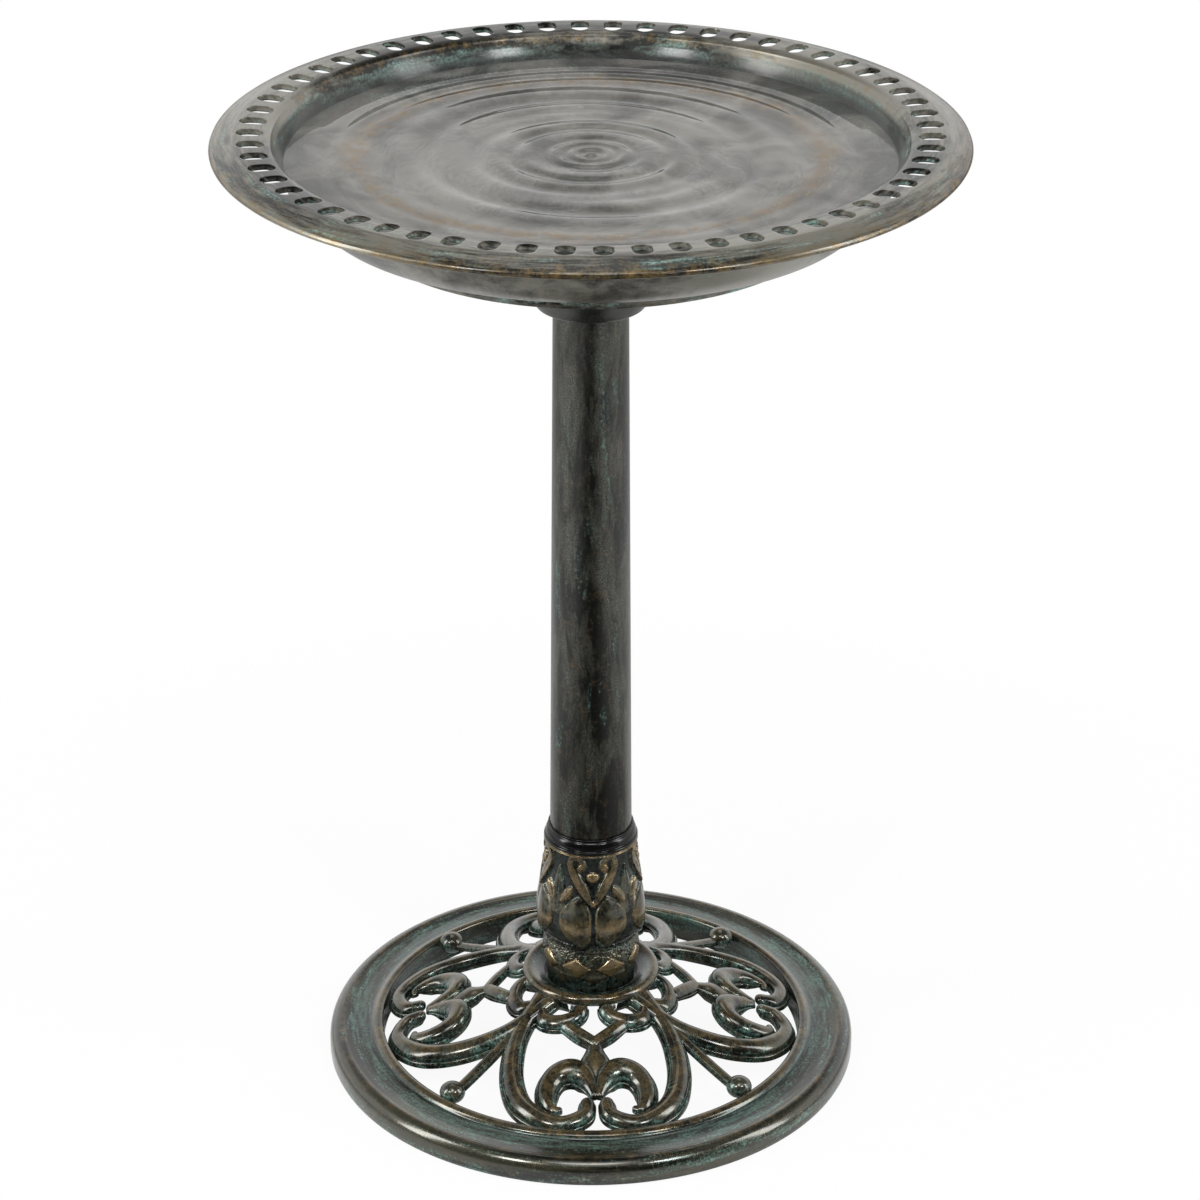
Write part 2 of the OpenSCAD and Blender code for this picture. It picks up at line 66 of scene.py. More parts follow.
def node_span(node):
    """The lowest point, the highest point and the radius of one node, in millimetres."""
    low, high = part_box(node)
    return low.z / MM, high.z / MM, high.x / MM


_, crown_z, basin_r = node_span("basin")
ring_r = node_span("base")[2]
neck_z, neck_top, _ = node_span("neck_ring")
_, collar_top, bulb_r = node_span("collar")
tube_foot, tube_top, tube_foot_r = node_span("column_tube")
skirt_z, pad_z, flange_r = node_span("basin_mount")
print("rim crown %.1f, basin radius %.1f, ring radius %.1f mm" % (crown_z, basin_r, ring_r))

# %% [markdown]
# ## The camera
#
# A long lens stands well back and a little above the rim, so the basin's circle shows
# as a wide oval and the column stays almost parallel. The small sideways shift puts
# the column where it belongs in the frame without turning the camera.

# %% Camera
camera_data = bpy.data.cameras.new("camera")
camera_data.lens = 113.0
camera_data.sensor_width = 36.0
camera_data.shift_x = 0.0076
camera = bpy.data.objects.new("camera", camera_data)
bpy.context.scene.collection.objects.link(camera)
camera.location = (0, -2.3887, 1.5351)
camera.rotation_euler = (math.radians(63.87), 0, 0)
bpy.context.scene.camera = camera
print("camera at", tuple(camera.location))

# %% [markdown]
# ## How a round part is made
#
# Most of this object was turned, or moulded from something turned. The Blender way to
# make such a part is to draw half of its outline and spin it about the axis. The
# outline starts as a plane merged to a single vertex, and each further vertex is
# extruded from the last one. Every outline carries two more numbers at each point:
# how much brass shows there, and how much patina lies there, which also sets how much
# black glaze paints shade into the grooves and dishes. They are stored on the mesh as
# attributes for the finish to read.

# %% Smooth curves
def smooth(points, steps):
    """A smooth curve through the points, with so many steps between each two."""
    p = np.array(points, float)
    p = np.vstack([2 * p[0] - p[1], p, 2 * p[-1] - p[-2]])
    rows = []
    for i in range(1, len(p) - 2):
        for t in np.arange(steps) / steps:
            rows.append(0.5 * (2 * p[i] + (p[i + 1] - p[i - 1]) * t
                        + (2 * p[i - 1] - 5 * p[i] + 4 * p[i + 1] - p[i + 2]) * t * t
                        + (3 * p[i] - p[i - 1] - 3 * p[i + 1] + p[i + 2]) * t * t * t))
    return rows + [p[-2]]


print("points on a curve through 3 with 6 steps:", len(smooth([(0, 0), (1, 1), (2, 0)], 6)))


# %% Meshes as rows of millimetres
def clear_selection():
    if bpy.context.object and bpy.context.object.mode != "OBJECT":
        bpy.ops.object.mode_set(mode="OBJECT")
    bpy.ops.object.select_all(action="DESELECT")


def edit_all():
    """Goes into edit mode with everything selected."""
    bpy.ops.object.mode_set(mode="EDIT")
    bpy.ops.mesh.select_all(action="SELECT")


def set_attribute(mesh, name, values):
    """Stores one number for each vertex, under this name."""
    layer = mesh.attributes.get(name) or mesh.attributes.new(name, "FLOAT", "POINT")
    layer.data.foreach_set("value", np.asarray(values, np.float32))


def places(mesh):
    """The mesh's vertices as rows of millimetres."""
    flat = np.zeros(len(mesh.vertices) * 3, np.float32)
    mesh.vertices.foreach_get("co", flat)
    return flat.reshape(-1, 3) / MM


def move_to(mesh, rows):
    """Puts the mesh's vertices at these rows of millimetres."""
    mesh.vertices.foreach_set("co", (np.asarray(rows, np.float32) * MM).ravel())
    mesh.update()


# %% Spin an outline into a part
WELD = 1e-6      # vertices closer than this, in metres, become one
BATCH = 20000    # vertices looked up at a time, to spare memory


def turned(name, outline, steps, smooth_angle=35):
    """Outline rows are radius, height, brass and patina, going round the closed section."""
    clear_selection()
    bpy.ops.mesh.primitive_plane_add(size=0.01, location=(0, 0, 0))
    part = bpy.context.object
    part.name = part.data.name = name
    rows = [tuple(row) for row in outline]
    edit_all()
    bpy.ops.mesh.merge(type="CENTER")
    bpy.ops.transform.translate(value=(rows[0][0] * MM, 0, rows[0][1] * MM))
    for here, there in zip(rows, rows[1:] + rows[:1]):
        step = ((there[0] - here[0]) * MM, 0, (there[1] - here[1]) * MM)
        bpy.ops.mesh.extrude_region_move(TRANSFORM_OT_translate={"value": step})
    bpy.ops.mesh.select_all(action="SELECT")
    bpy.ops.mesh.remove_doubles(threshold=WELD)
    bpy.ops.mesh.select_all(action="SELECT")
    bpy.ops.mesh.spin(steps=steps, angle=2 * math.pi, center=(0, 0, 0), axis=(0, 0, 1))
    bpy.ops.mesh.select_all(action="SELECT")
    bpy.ops.mesh.remove_doubles(threshold=2 * WELD)
    bpy.ops.mesh.normals_make_consistent(inside=False)
    bpy.ops.object.mode_set(mode="OBJECT")
    bpy.ops.object.shade_smooth_by_angle(angle=math.radians(smooth_angle))
    co = places(part.data)
    radius = np.hypot(co[:, 0], co[:, 1])
    table = np.array(rows, float)
    brass, patina_and_shade = np.zeros(len(co)), np.zeros(len(co))
    for i in range(0, len(co), BATCH):
        gap = np.hypot(radius[i:i + BATCH, None] - table[None, :, 0],
                       co[i:i + BATCH, 2, None] - table[None, :, 1])
        nearest = gap.argmin(1)
        brass[i:i + BATCH], patina_and_shade[i:i + BATCH] = table[nearest, 2], table[nearest, 3]
    set_attribute(part.data, "brass", brass)
    set_attribute(part.data, "patina_and_shade", patina_and_shade)
    print(name, len(part.data.polygons), "faces")
    return part


# %% [markdown]
# ## The basin
#
# The basin is one moulding: a shallow lower bowl, a step, a curved upper wall and a
# flat rim with a rolled edge. Sixty drain slots go through the rim. It is spun from
# its section, and the slots are cut by a boolean with one cutter that is modelled
# once and copied round. Brass shows on the lip, on the rim's inner edge and on the
# edge of the step, and patina lies thick high up on the wall.

# %% The basin's section
well_r = basin_r - 42
crease_r = well_r - 29
tier_r = crease_r - 27
floor_z = crown_z - 68
floor_top = floor_z + 5
crease_z = crown_z - 51.5
roll_mm = 2      # radius of the rolled edge

under = [(flange_r + 3, floor_z, 0, 0.5), (tier_r - 3, floor_z, 0, 0.4),
         (tier_r - 0.8, floor_z + 0.5, 0.2, 0.6), (tier_r, floor_z + 2.2, 0.3, 0.6),
         (tier_r + 1.7, floor_z + 7, 0.1, 0.75), (tier_r + 3.6, crease_z - 3, 0, 0.9)]
belly = smooth([(tier_r + 5.5, crease_z - 1.2, 0.1, 0.8), (crease_r - 8, crease_z - 0.6, 0.2, 0.5),
                (crease_r, crease_z, 0.6, 0.3), (crease_r + 3, crease_z + 0.8, 0.5, 0.3),
                (well_r - 17, crown_z - 42, 0.1, 0.4), (well_r - 5, crown_z - 24, 0.1, 0.4),
                (well_r + 2.5, crown_z - 8.5, 0, 0.5), (well_r + 8, crown_z - 4.6, 0, 0.6),
                (well_r + 22, crown_z - 4, 0, 0.5), (basin_r - 14, crown_z - 4.7, 0, 0.5),
                (basin_r - 7, crown_z - 6.8, 0.1, 0.5), (basin_r - 4.6, crown_z - 9, 0.3, 0.4)], 6)
lip = [(basin_r - 2.01 + roll_mm * math.cos(math.radians(a)),
        crown_z - 7.6 + roll_mm * math.sin(math.radians(a)), 0.95, 0.2) for a in range(216, 361, 18)]
crown = smooth([(basin_r - 0.9, crown_z - 5.6, 0.85, 0.3), (basin_r - 4, crown_z - 3.8, 0.65, 0.45),
                (basin_r - 14, crown_z - 0.7, 0.3, 0.5), (basin_r - 19, crown_z - 0.05, 0.22, 0.35),
                (well_r + 13, crown_z - 0.2, 0.12, 0.3), (well_r + 5, crown_z - 1, 0.2, 0.25),
                (well_r + 1.4, crown_z - 2.6, 0.55, 0.35), (well_r, crown_z - 4.6, 0.6, 0.4),
                (well_r - 2.6, crown_z - 9, 0.2, 0.87), (well_r - 4, crown_z - 12, 0.1, 0.92),
                (well_r - 6.4, crown_z - 16.5, 0, 1), (well_r - 10, crown_z - 22, 0, 0.92),
                (well_r - 23, crown_z - 40, 0.1, 0.5), (well_r - 34, crown_z - 46.5, 0.5, 0.4),
                (tier_r + 5, crease_z + 4, 0.3, 0.4)], 6)
inside = smooth([(tier_r + 1.5, crease_z + 2.5, 0.7, 0.4), (tier_r - 3, floor_z + 8, 0.4, 0.5),
                 (tier_r - 7, floor_top, 0.3, 0.5)], 4)
floor_inside = [(tier_r - 40, floor_top, 0.15, 0.4), (60, floor_top, 0.15, 0.4), (0.05, floor_top, 0.15, 0.4)]
pad = [(0.05, pad_z, 0, 0.5), (flange_r + 1.2, pad_z, 0, 0.5), (flange_r + 2, pad_z + 0.8, 0, 0.5)]
bowl = turned("basin_bowl", under + belly + lip + crown + inside + floor_inside + pad, 360)

# %% [markdown]
# ## The slots in the rim
#
# Each drain slot is a short slit with round ends. A cylinder is pulled apart along
# the radius to make one cutter, and a spin with copies puts sixty of them round the
# rim. After the cut a small bevel softens the slots' edges as paint does, and the
# slots' walls get the full black glaze, which is painted shade inside the slots as
# well as glaze.

# %% One slot cutter, rounded at both ends
slot_count = 60
slot_w = 13.2
slot_l = 18.6
slot_in = well_r + 5.4
slot_middle = slot_in + slot_l / 2
slot_turn = 2.0  # degrees that the first slot stands off the x axis
clear_selection()
bpy.ops.mesh.primitive_cylinder_add(vertices=28, radius=slot_w / 2 * MM, depth=14 * MM,
                                    location=(slot_middle * MM, 0, crown_z * MM))
cutter = bpy.context.object
cutter.name = "slot_cutter"
bpy.ops.object.transform_apply(location=True, rotation=True, scale=True)
bpy.ops.object.mode_set(mode="EDIT")
bpy.ops.mesh.select_mode(type="VERT")
shape = bmesh.from_edit_mesh(cutter.data)
for side in (-1, 1):
    bpy.ops.mesh.select_all(action="DESELECT")
    for v in shape.verts:
        v.select = (v.co.x / MM - slot_in - slot_l / 2) * side > 0.01
    shape.select_flush_mode()
    bmesh.update_edit_mesh(cutter.data)
    bpy.ops.transform.translate(value=(side * (slot_l - slot_w) / 2 * MM, 0, 0))
print("one cutter:", len(shape.verts), "vertices")

# %% Copy the cutter round the rim
bpy.ops.mesh.select_all(action="SELECT")
bpy.ops.transform.rotate(value=-math.radians(slot_turn), orient_axis="Z", center_override=(0, 0, 0))
bpy.ops.mesh.spin(steps=slot_count, angle=2 * math.pi, center=(0, 0, 0), axis=(0, 0, 1), dupli=True)
bpy.ops.mesh.select_all(action="SELECT")
bpy.ops.mesh.remove_doubles(threshold=WELD)
bpy.ops.mesh.normals_make_consistent(inside=False)
bpy.ops.object.mode_set(mode="OBJECT")
print("all cutters:", len(cutter.data.vertices), "vertices")

# %% Cut the slots
clear_selection()
bpy.context.view_layer.objects.active = bowl
bowl.select_set(True)
cut = bowl.modifiers.new("slots", "BOOLEAN")
cut.operation, cut.solver, cut.object = "DIFFERENCE", "EXACT", cutter
bpy.ops.object.modifier_apply(modifier="slots")
bpy.data.objects.remove(cutter)
soften = bowl.modifiers.new("soft_edges", "BEVEL")
soften.width, soften.segments = 0.5 * MM, 2
soften.limit_method, soften.angle_limit = "ANGLE", math.radians(60)
bpy.ops.object.modifier_apply(modifier="soft_edges")
bpy.ops.object.shade_smooth_by_angle(angle=math.radians(40))
print("basin with slots:", len(bowl.data.polygons), "faces")

# %% Glaze the slots' walls, with painted shade inside them
co = places(bowl.data)
r = np.hypot(co[:, 0], co[:, 1])
glazed_and_shaded = np.zeros(len(co), np.float32)
bowl.data.attributes["patina_and_shade"].data.foreach_get("value", glazed_and_shaded)
in_slots = (r > slot_in - 1) & (r < slot_in + slot_l + 1) & (co[:, 2] < crown_z - 2)
# Full glaze on the slots' walls: black glaze that is also painted shade inside the slots.
glazed_and_shaded[in_slots] = 1.0
set_attribute(bowl.data, "patina_and_shade", glazed_and_shaded)
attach(bowl, "basin")
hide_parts("basin")
print("glazed vertices:", int(in_slots.sum()))

# %% [markdown]
# ## The water
#
# The basin is filled to 18 mm under the rim's crown, and a drop has just fallen in
# the middle. Rings spread from it: short and high near the centre, longer and lower
# further out. A disc is inset ring after ring, and the rings' heights are then worked
# out as waves that die away from where each is strongest. The short ripples near the
# wall are highest at the back. At the wall itself the water lies still.

# %% Water disc
water_z = crown_z - 18.0
wall = sorted((row[1], row[0]) for row in crown if row[0] < well_r + 2)
water_r = float(np.interp(water_z, [z for z, _ in wall], [r for _, r in wall])) + 0.15
clear_selection()
bpy.ops.mesh.primitive_circle_add(vertices=256, radius=water_r * MM, fill_type="NGON",
                                  location=(0, 0, water_z * MM))
water = bpy.context.object
water.name = water.data.name = "basin_water"
bpy.ops.object.transform_apply(location=True, rotation=True, scale=True)
edit_all()
ring_count = 170
for k in range(ring_count):
    bpy.ops.mesh.inset(thickness=water_r * MM / (ring_count + 1), use_even_offset=False)
bpy.ops.mesh.merge(type="CENTER")
bpy.ops.mesh.select_all(action="SELECT")
bpy.ops.mesh.normals_make_consistent(inside=False)
bpy.ops.object.mode_set(mode="OBJECT")
bpy.ops.object.shade_smooth()
print("water at", water_z, "mm, radius", water_r, "mm,", len(water.data.polygons), "faces")


# %% Waves
def bell(distance, width):
    """1 in the middle, falling off smoothly to either side."""
    return np.exp(-(distance / width) ** 2)


co = places(water.data)
r = np.hypot(co[:, 0], co[:, 1])
a = np.arctan2(co[:, 1], co[:, 0])
full_turn = 2 * np.pi
near_drop = 1.0 * np.exp(-r / 20) * np.cos(full_turn * r / 12)
rings = 0.62 * bell(r - 52, 34) * np.cos(full_turn * (r + 1.5 * np.sin(a + 1)) / 21)
swell = 0.75 * bell(r - 112, 34) * np.cos(full_turn * (r + 4 * np.sin(a * 2 + 0.6)) / 33 + 0.8)
at_the_back = 0.35 + 0.65 * np.clip(np.sin(a), 0, 1)
ripples = 0.55 * bell(r - 172, 16) * np.cos(full_turn * r / 17) * at_the_back
still_edge = np.clip((water_r - r) / 14, 0, 1)
wave_mm = 1.25
co[:, 2] = water_z + wave_mm * (near_drop + rings + swell + ripples) * still_edge
move_to(water.data, co)
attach(water, "basin")
print("waves from %.2f to %.2f mm" % (co[:, 2].min() - water_z, co[:, 2].max() - water_z))

# %% [markdown]
# ## The socket under the basin and the column
#
# A dark flared socket is screwed to the basin's underside, and the column is a plain
# tapered tube. Both are turned from their sections again, finer than the
# construction model so that their highlights run clean. The model's own socket, with
# the grooves inside, stays within the finer one and gets the same finish.

# %% Socket
skirt = smooth([(35.6, skirt_z + 20, 0, 0.3), (35.5, skirt_z + 2, 0, 0.3), (35.7, skirt_z + 0.3, 0.3, 0.3),
                (36.6, skirt_z, 0.5, 0.3), (37.7, skirt_z + 0.5, 0.6, 0.3), (38.1, skirt_z + 1.4, 0.5, 0.3),
                (39, skirt_z + 5.5, 0.1, 0.4), (41.4, skirt_z + 24, 0, 0.4), (44, pad_z - 9, 0, 0.5),
                (46.5, pad_z - 6, 0, 0.5), (50, pad_z - 5, 0, 0.5), (flange_r - 1, pad_z - 5, 0.1, 0.4),
                (flange_r, pad_z - 4, 0.5, 0.4), (flange_r, pad_z - 0.4, 0.3, 0.4)], 4)
socket = turned("basin_socket", skirt + [(flange_r - 0.5, pad_z, 0, 0.4), (30.5, pad_z, 0, 0.4),
                                         (30.5, pad_z - 29, 0, 0.4)], 128)
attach(socket, "basin")
print("socket from", round(skirt_z, 1), "to", round(pad_z, 1), "mm")

# %% Column
tube_top_r = 26.0


def tube_at(z):
    """The tube's outside radius at a height."""
    return tube_foot_r + (tube_top_r - tube_foot_r) * (z - tube_foot) / (tube_top - tube_foot)


outer = [(tube_at(z), z, 0.2, 0.5) for z in np.linspace(tube_foot, tube_top - 0.6, 40)]
tube = turned("column_shell", outer + [
    (tube_top_r - 0.6, tube_top, 0.6, 0.3), (tube_top_r - 3, tube_top, 0.2, 0.3),
    (tube_foot_r - 3, tube_foot, 0.2, 0.3)], 128)
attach(tube, "pedestal")
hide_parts("column_tube")
print("column radius %.1f at the foot, %.1f at the top" % (tube_foot_r, tube_top_r))

# %% [markdown]
# ## The lotus collar
#
# The collar is a moulded sleeve: eight fat petals below, and above them four lyres
# whose stems roll over into scrolls, with small beads between. A relief like this is
# sculpted on the real master. Here a dense turned blank is pushed in and out in code:
# each petal, stem and bead is a small height function of the angle round the column
# and the height, and the highest one wins at each vertex. The blank is the outside of
# the relief, so everything between the motifs is sunk into it.

# %% Collar blank
collar_h = collar_top - neck_top
lip_r = tube_foot_r + 4
bore = tube_foot_r + 0.1
profile = smooth([(lip_r - 1.2, 1), (lip_r - 0.2, 0.985), (lip_r, 0.95), (lip_r + 0.1, 0.9),
                  (lip_r + 0.5, 0.8), (lip_r + 1.5, 0.7), (bulb_r - 2.6, 0.5), (bulb_r - 0.7, 0.37),
                  (bulb_r, 0.26), (bulb_r - 0.6, 0.15), (bulb_r - 3.4, 0.06), (bulb_r - 6.2, 0)], 18)
outside = [(p[0], neck_top + p[1] * collar_h, 0.3, 0.5) for p in profile]
collar = turned("lotus_collar", outside + [(bore, neck_top, 0, 0.5), (bore, collar_top, 0, 0.5)], 400,
                smooth_angle=60)


# %% Height functions of the relief
def fold(degrees, period):
    """Angle from the nearest centre line of a motif that repeats, never negative."""
    return np.abs((degrees + period / 2) % period - period / 2)


def pillow(across, half_width, height):
    """A rounded ridge: full height in the middle, steep at its edges."""
    share = np.clip(np.abs(across) / np.maximum(half_width, 1e-6), 0, 1)
    return np.where(half_width > 1e-6, height * np.sqrt(1 - share ** 2.4), 0)


def ridge(u, z, path, height, flat=False):
    """A ridge along a path of places across, heights and half widths: round, or flat with raised edges."""
    best = np.zeros_like(u)
    p = np.array(smooth(path, 5))
    for (u0, z0, w0), (u1, z1, w1) in zip(p, p[1:]):
        length = (u1 - u0) ** 2 + (z1 - z0) ** 2
        t = np.clip(((u - u0) * (u1 - u0) + (z - z0) * (z1 - z0)) / max(length, 1e-9), 0, 1)
        away = np.hypot(u - u0 - t * (u1 - u0), z - z0 - t * (z1 - z0))
        share = away / (w0 + t * (w1 - w0))
        if flat:
            raised = 0.62 + 0.38 * bell(share - 0.74, 0.17)
            section = raised * np.sqrt(np.clip((1 - share) / 0.14, 0, 1))
        else:
            section = np.sqrt(np.clip(1 - share ** 2, 0, 1))
        best = np.maximum(best, height * section)
    return best


def bead(u, z, u0, z0, half_wide, half_tall, height):
    """A round or oval bead."""
    return height * np.sqrt(np.clip(1 - ((u - u0) / half_wide) ** 2 - ((z - z0) / half_tall) ** 2, 0, 1))


print("0, 45 and 100 degrees in a pattern of 90:", fold(np.array([0, 45, 100]), 90))


# %% Hammer marks
def hammer_marks(degrees, z, radius, low, high, seed, spacing_mm=1.5, dent_mm=1.1):
    """Many small round dents at seeded places: 0 in a dent's middle, 1 between the dents."""
    rng = np.random.default_rng(seed)
    number = int(2 * math.pi * radius * (high - low) / spacing_mm ** 2)
    dent_deg, dent_z = rng.uniform(0, 360, number), rng.uniform(low, high, number)
    marks = np.ones(len(z))
    band = np.nonzero((z > low) & (z < high))[0]
    for start in range(0, len(band), 8000):
        some = band[start:start + 8000]
        off = (degrees[some, None] - dent_deg[None, :] + 180) % 360 - 180
        away = np.hypot(np.radians(off) * radius, z[some, None] - dent_z[None, :]).min(1)
        marks[some] = np.clip(away / dent_mm, 0, 1)
    return marks


print("dents in a hammered band 10 mm high:", int(2 * math.pi * 37 * 10 / 1.5 ** 2))

# %% Where each vertex is in the collar's pattern
collar_turn = 2.5    # degrees that the collar was put on askew
co = places(collar.data)
r = np.hypot(co[:, 0], co[:, 1])
z = co[:, 2]
round_deg = np.degrees(np.arctan2(co[:, 1], co[:, 0])) + 90 - collar_turn
skin = r > bore + 1.5
a4 = fold(round_deg, 90)
u = np.radians(a4) * r
print("the pattern goes from 0 to", round(float(a4.max()), 1), "degrees, mirrored and repeated")

# %% Petals: rows of rise, middle and half width in degrees
rise = (z - neck_top - 9.5) / 37.5
petal = np.array(smooth([(-0.08, 12.5, 6.5), (0, 14.2, 10.5), (0.13, 17.4, 14.8), (0.32, 20.6, 18.6),
                         (0.5, 21.2, 19.3), (0.68, 19.8, 16.8), (0.83, 18.4, 11.2), (0.94, 17.4, 4.6),
                         (1, 16.8, 0)], 6))
middle = np.interp(rise, petal[:, 0], petal[:, 1])
half = np.interp(rise, petal[:, 0], petal[:, 2], left=0, right=0)
share = np.clip(np.abs(a4 - middle) / np.maximum(half, 1e-3), 0, 1)
petals = np.where(half > 0, 2.1 * (1 - share ** 2.2) ** 0.62 + 0.4 * bell(share - 0.9, 0.06), 0)
print("petals", round(float(petals.max()), 2), "mm high")

# %% Leaves, lozenges, ribbons and beads
leaf_z, leaf_h = 124, 38
leaf_rise = np.clip((z - leaf_z) / leaf_h, 0, 1)
leaf_half = np.where(z > leaf_z, 17 * (1 - leaf_rise) ** 0.7, 0)
leaf_vein = 0.45 * bell(a4 - 45, 1.2) * (leaf_half > 2)
leaves = pillow(a4 - 45, leaf_half, 1.2) - leaf_vein
lozenges = ridge(u, z, [(25.2, 135, 2.0), (22.6, 138.4, 3.4), (19.6, 142.2, 3.3), (17.2, 145.6, 1.5)], 1.8)
ribbons = ridge(u, z, [(2.6, 137.6, 2.4), (6.6, 144.6, 3.7), (10.0, 150.3, 4.2), (13.1, 155.5, 4.0),
                       (15.8, 160.4, 3.4), (17.3, 165.4, 2.8), (16.3, 169.5, 2.3), (13.2, 171.4, 2.1),
                       (9.6, 170.3, 2.0), (7.2, 167.0, 2.0), (7.0, 163.3, 2.0), (9.2, 161.0, 1.8),
                       (11.0, 162.8, 1.5)], 2.0, flat=True)
beads = np.maximum.reduce([bead(u, z, 0, 155.8, 5.4, 4.3, 2.2), bead(u, z, 9.3, 164.6, 2.2, 2.2, 2.2),
                           bead(u, z, 0, 135.2, 2.4, 2.6, 2.1)])
collar_band = 1.8 * np.clip(1.3 - np.abs(z - (collar_top - 1.4)) / 1.1, 0, 1)
print("ribbons", round(float(ribbons.max()), 2), "and beads", round(float(beads.max()), 2), "mm high")

# %% Push the collar's relief out of the blank
marks = hammer_marks(round_deg, z, 37, neck_top - 1, neck_top + 12, 3)
hammered = np.where(z < neck_top + 11, 0.5 + 0.8 * marks, 0)
between_petals = np.where(petals > 0, 0, hammered)
height = np.maximum.reduce([petals, leaves, lozenges, ribbons, beads, collar_band, between_petals])
spare = np.clip(r - bore - 1.4, 0, 3.4)
top_edge = np.clip((collar_top - z) / 0.8, 0, 1)
foot_edge = np.clip((z - neck_top) / 0.8, 0, 1)
sink = np.where(skin, spare * top_edge * foot_edge, 0)
push = -sink * (1 - np.clip(height / 2.2, 0, 1))
co[:, :2] *= ((r + push) / r)[:, None]
move_to(collar.data, co)
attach(collar, "pedestal")
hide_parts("collar")
print("collar relief: highest", round(float(height.max()), 2), "mm,", len(collar.data.polygons), "faces")

# %% Where the rag, the glaze and the painted shade go on the collar
petal_belly = (petals > 0) * (0.15 + 0.65 * bell(rise - 0.36, 0.18))
petal_rim = 0.9 * (petals > 0) * bell(share - 0.93, 0.05)
gold = np.maximum.reduce([petal_belly, petal_rim, np.where(ribbons > 1.55, 0.7, 0.1),
                          np.where(beads > 0.4, 1.0, 0), np.where(lozenges > 0.4, 0.85, 0),
                          np.where(collar_band > 0.5, 0.8, 0)])
# Black glaze, also painted shade, fills the sunk ground between the motifs, and the bell just under the
# petals' feet is a painted shadow under their overhang.
hollows_and_shade = 1.05 - height / 1.5 + 0.9 * bell(rise + 0.05, 0.12)
set_attribute(collar.data, "brass", gold * skin * (height > 0.3))
set_attribute(collar.data, "patina_and_shade", np.clip(hollows_and_shade, 0, 1))
print("brassy share of the collar:", round(float((gold * skin > 0.5).mean()), 2))

# %% [markdown]
# ## The neck ring and the black trim ring
#
# Under the petals is a hammered band that runs down between eight faceted diamonds,
# and below these the tops of eight more show. The hammering is many small dents at
# seeded places. It is all pushed out of a turned blank, as on the collar. Above the
# collar a plain glossy black ring covers the gap between the sleeve and the tube.

# %% Neck ring blank
outline = smooth([(tube_foot_r + 3.2, neck_z), (tube_foot_r + 3.4, neck_z + 10),
                  (tube_foot_r + 4.4, neck_z + 18), (tube_foot_r + 5.8, neck_z + 25),
                  (tube_foot_r + 6.2, neck_z + 29), (tube_foot_r + 5.7, neck_z + 33),
                  (tube_foot_r + 4, neck_top - 2), (tube_foot_r + 2.4, neck_top)], 13)
neck = turned("neck_ring_shell", [(p[0], p[1], 0.3, 0.5) for p in outline]
              + [(bore, neck_top, 0, 0.5), (bore, neck_z, 0, 0.5)], 400, smooth_angle=60)

# %% Diamonds and hammered band
neck_turn = 3.7      # degrees that the neck ring was put on askew
co = places(neck.data)
r = np.hypot(co[:, 0], co[:, 1])
z = co[:, 2]
skin = r > bore + 1.5
turn = np.degrees(np.arctan2(co[:, 1], co[:, 0])) + 90 - neck_turn
mid = neck_z + 24.5
diamond = np.clip(1 - fold(turn + 22.5, 45) / 21.5 - np.abs(z - mid) / 9.8, 0, 1)
below = np.clip(1 - fold(turn, 45) / 22.5 - np.abs(z - (neck_z + 16)) / 7.5, 0, 1)
facet = np.maximum(1.9 * np.clip(diamond / 0.2, 0, 1) + 1.3 * diamond, 1.6 * below)
band = (diamond <= 0) & (z > mid - 1)
hammered = np.where(band, 0.9 + 0.9 * hammer_marks(turn, z, 36, neck_z + 22, neck_top, 7), 0)
spare = np.clip(r - bore - 1.2, 0, 3.2)
sink = np.where(skin, spare * np.clip((neck_top - z) / 1.0, 0, 1), 0)
push = -sink * (1 - np.clip((facet + hammered) / 3.2, 0, 1))
co[:, :2] *= ((r + np.minimum(push, 0.0)) / r)[:, None]
move_to(neck.data, co)
# Black glaze, also painted shade, fills the dents of the hammered band and the sunk ground round the
# diamonds.
hollows_and_shade = np.where(band, 1.7 - 0.9 * hammered, 0.95) - 3 * facet
set_attribute(neck.data, "brass", np.where(skin & (diamond > 0.03), 0.95, 0))
set_attribute(neck.data, "patina_and_shade", np.clip(hollows_and_shade, 0.1, 1))
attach(neck, "pedestal")
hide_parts("neck_ring")
print("diamonds stand", round(float(facet.max()), 2), "mm above the ground between them")

# %% Black trim ring: rows of distance from the lip and height above the collar
ring_bore = tube_at(collar_top) + 0.1
moulding = [(lip_r - inward, collar_top + up, 0, 0) for inward, up in (
    (2, 0), (0.9, 0.3), (0.6, 1.2), (0.9, 2.2), (1.9, 2.9), (2.1, 3.6), (1.7, 4.4), (2.0, 5.6), (3.0, 8.0),
    (3.9, 9.0), (4.1, 9.6))]
top = [(ring_bore + outward, collar_top + up, 0, 0) for outward, up in ((1.3, 10.9), (0.4, 11.5), (0, 11.5))]
trim = turned("trim_ring", [(ring_bore, collar_top, 0, 0)] + smooth(moulding + top, 5), 128)
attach(trim, "pedestal")
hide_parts("collar_ring")
print("trim ring's bore radius", round(ring_bore, 2), "mm")

# %% [markdown]
# ## The base's ring and saucer
#
# The base is one openwork casting. Its ring and its saucer are turned, so they are
# spun here too. The ring has a raised bead on its inner edge, a flat that slopes
# gently down and a full round shoulder outside. The saucer is an open dish with a
# rolled lip that takes the column's foot.

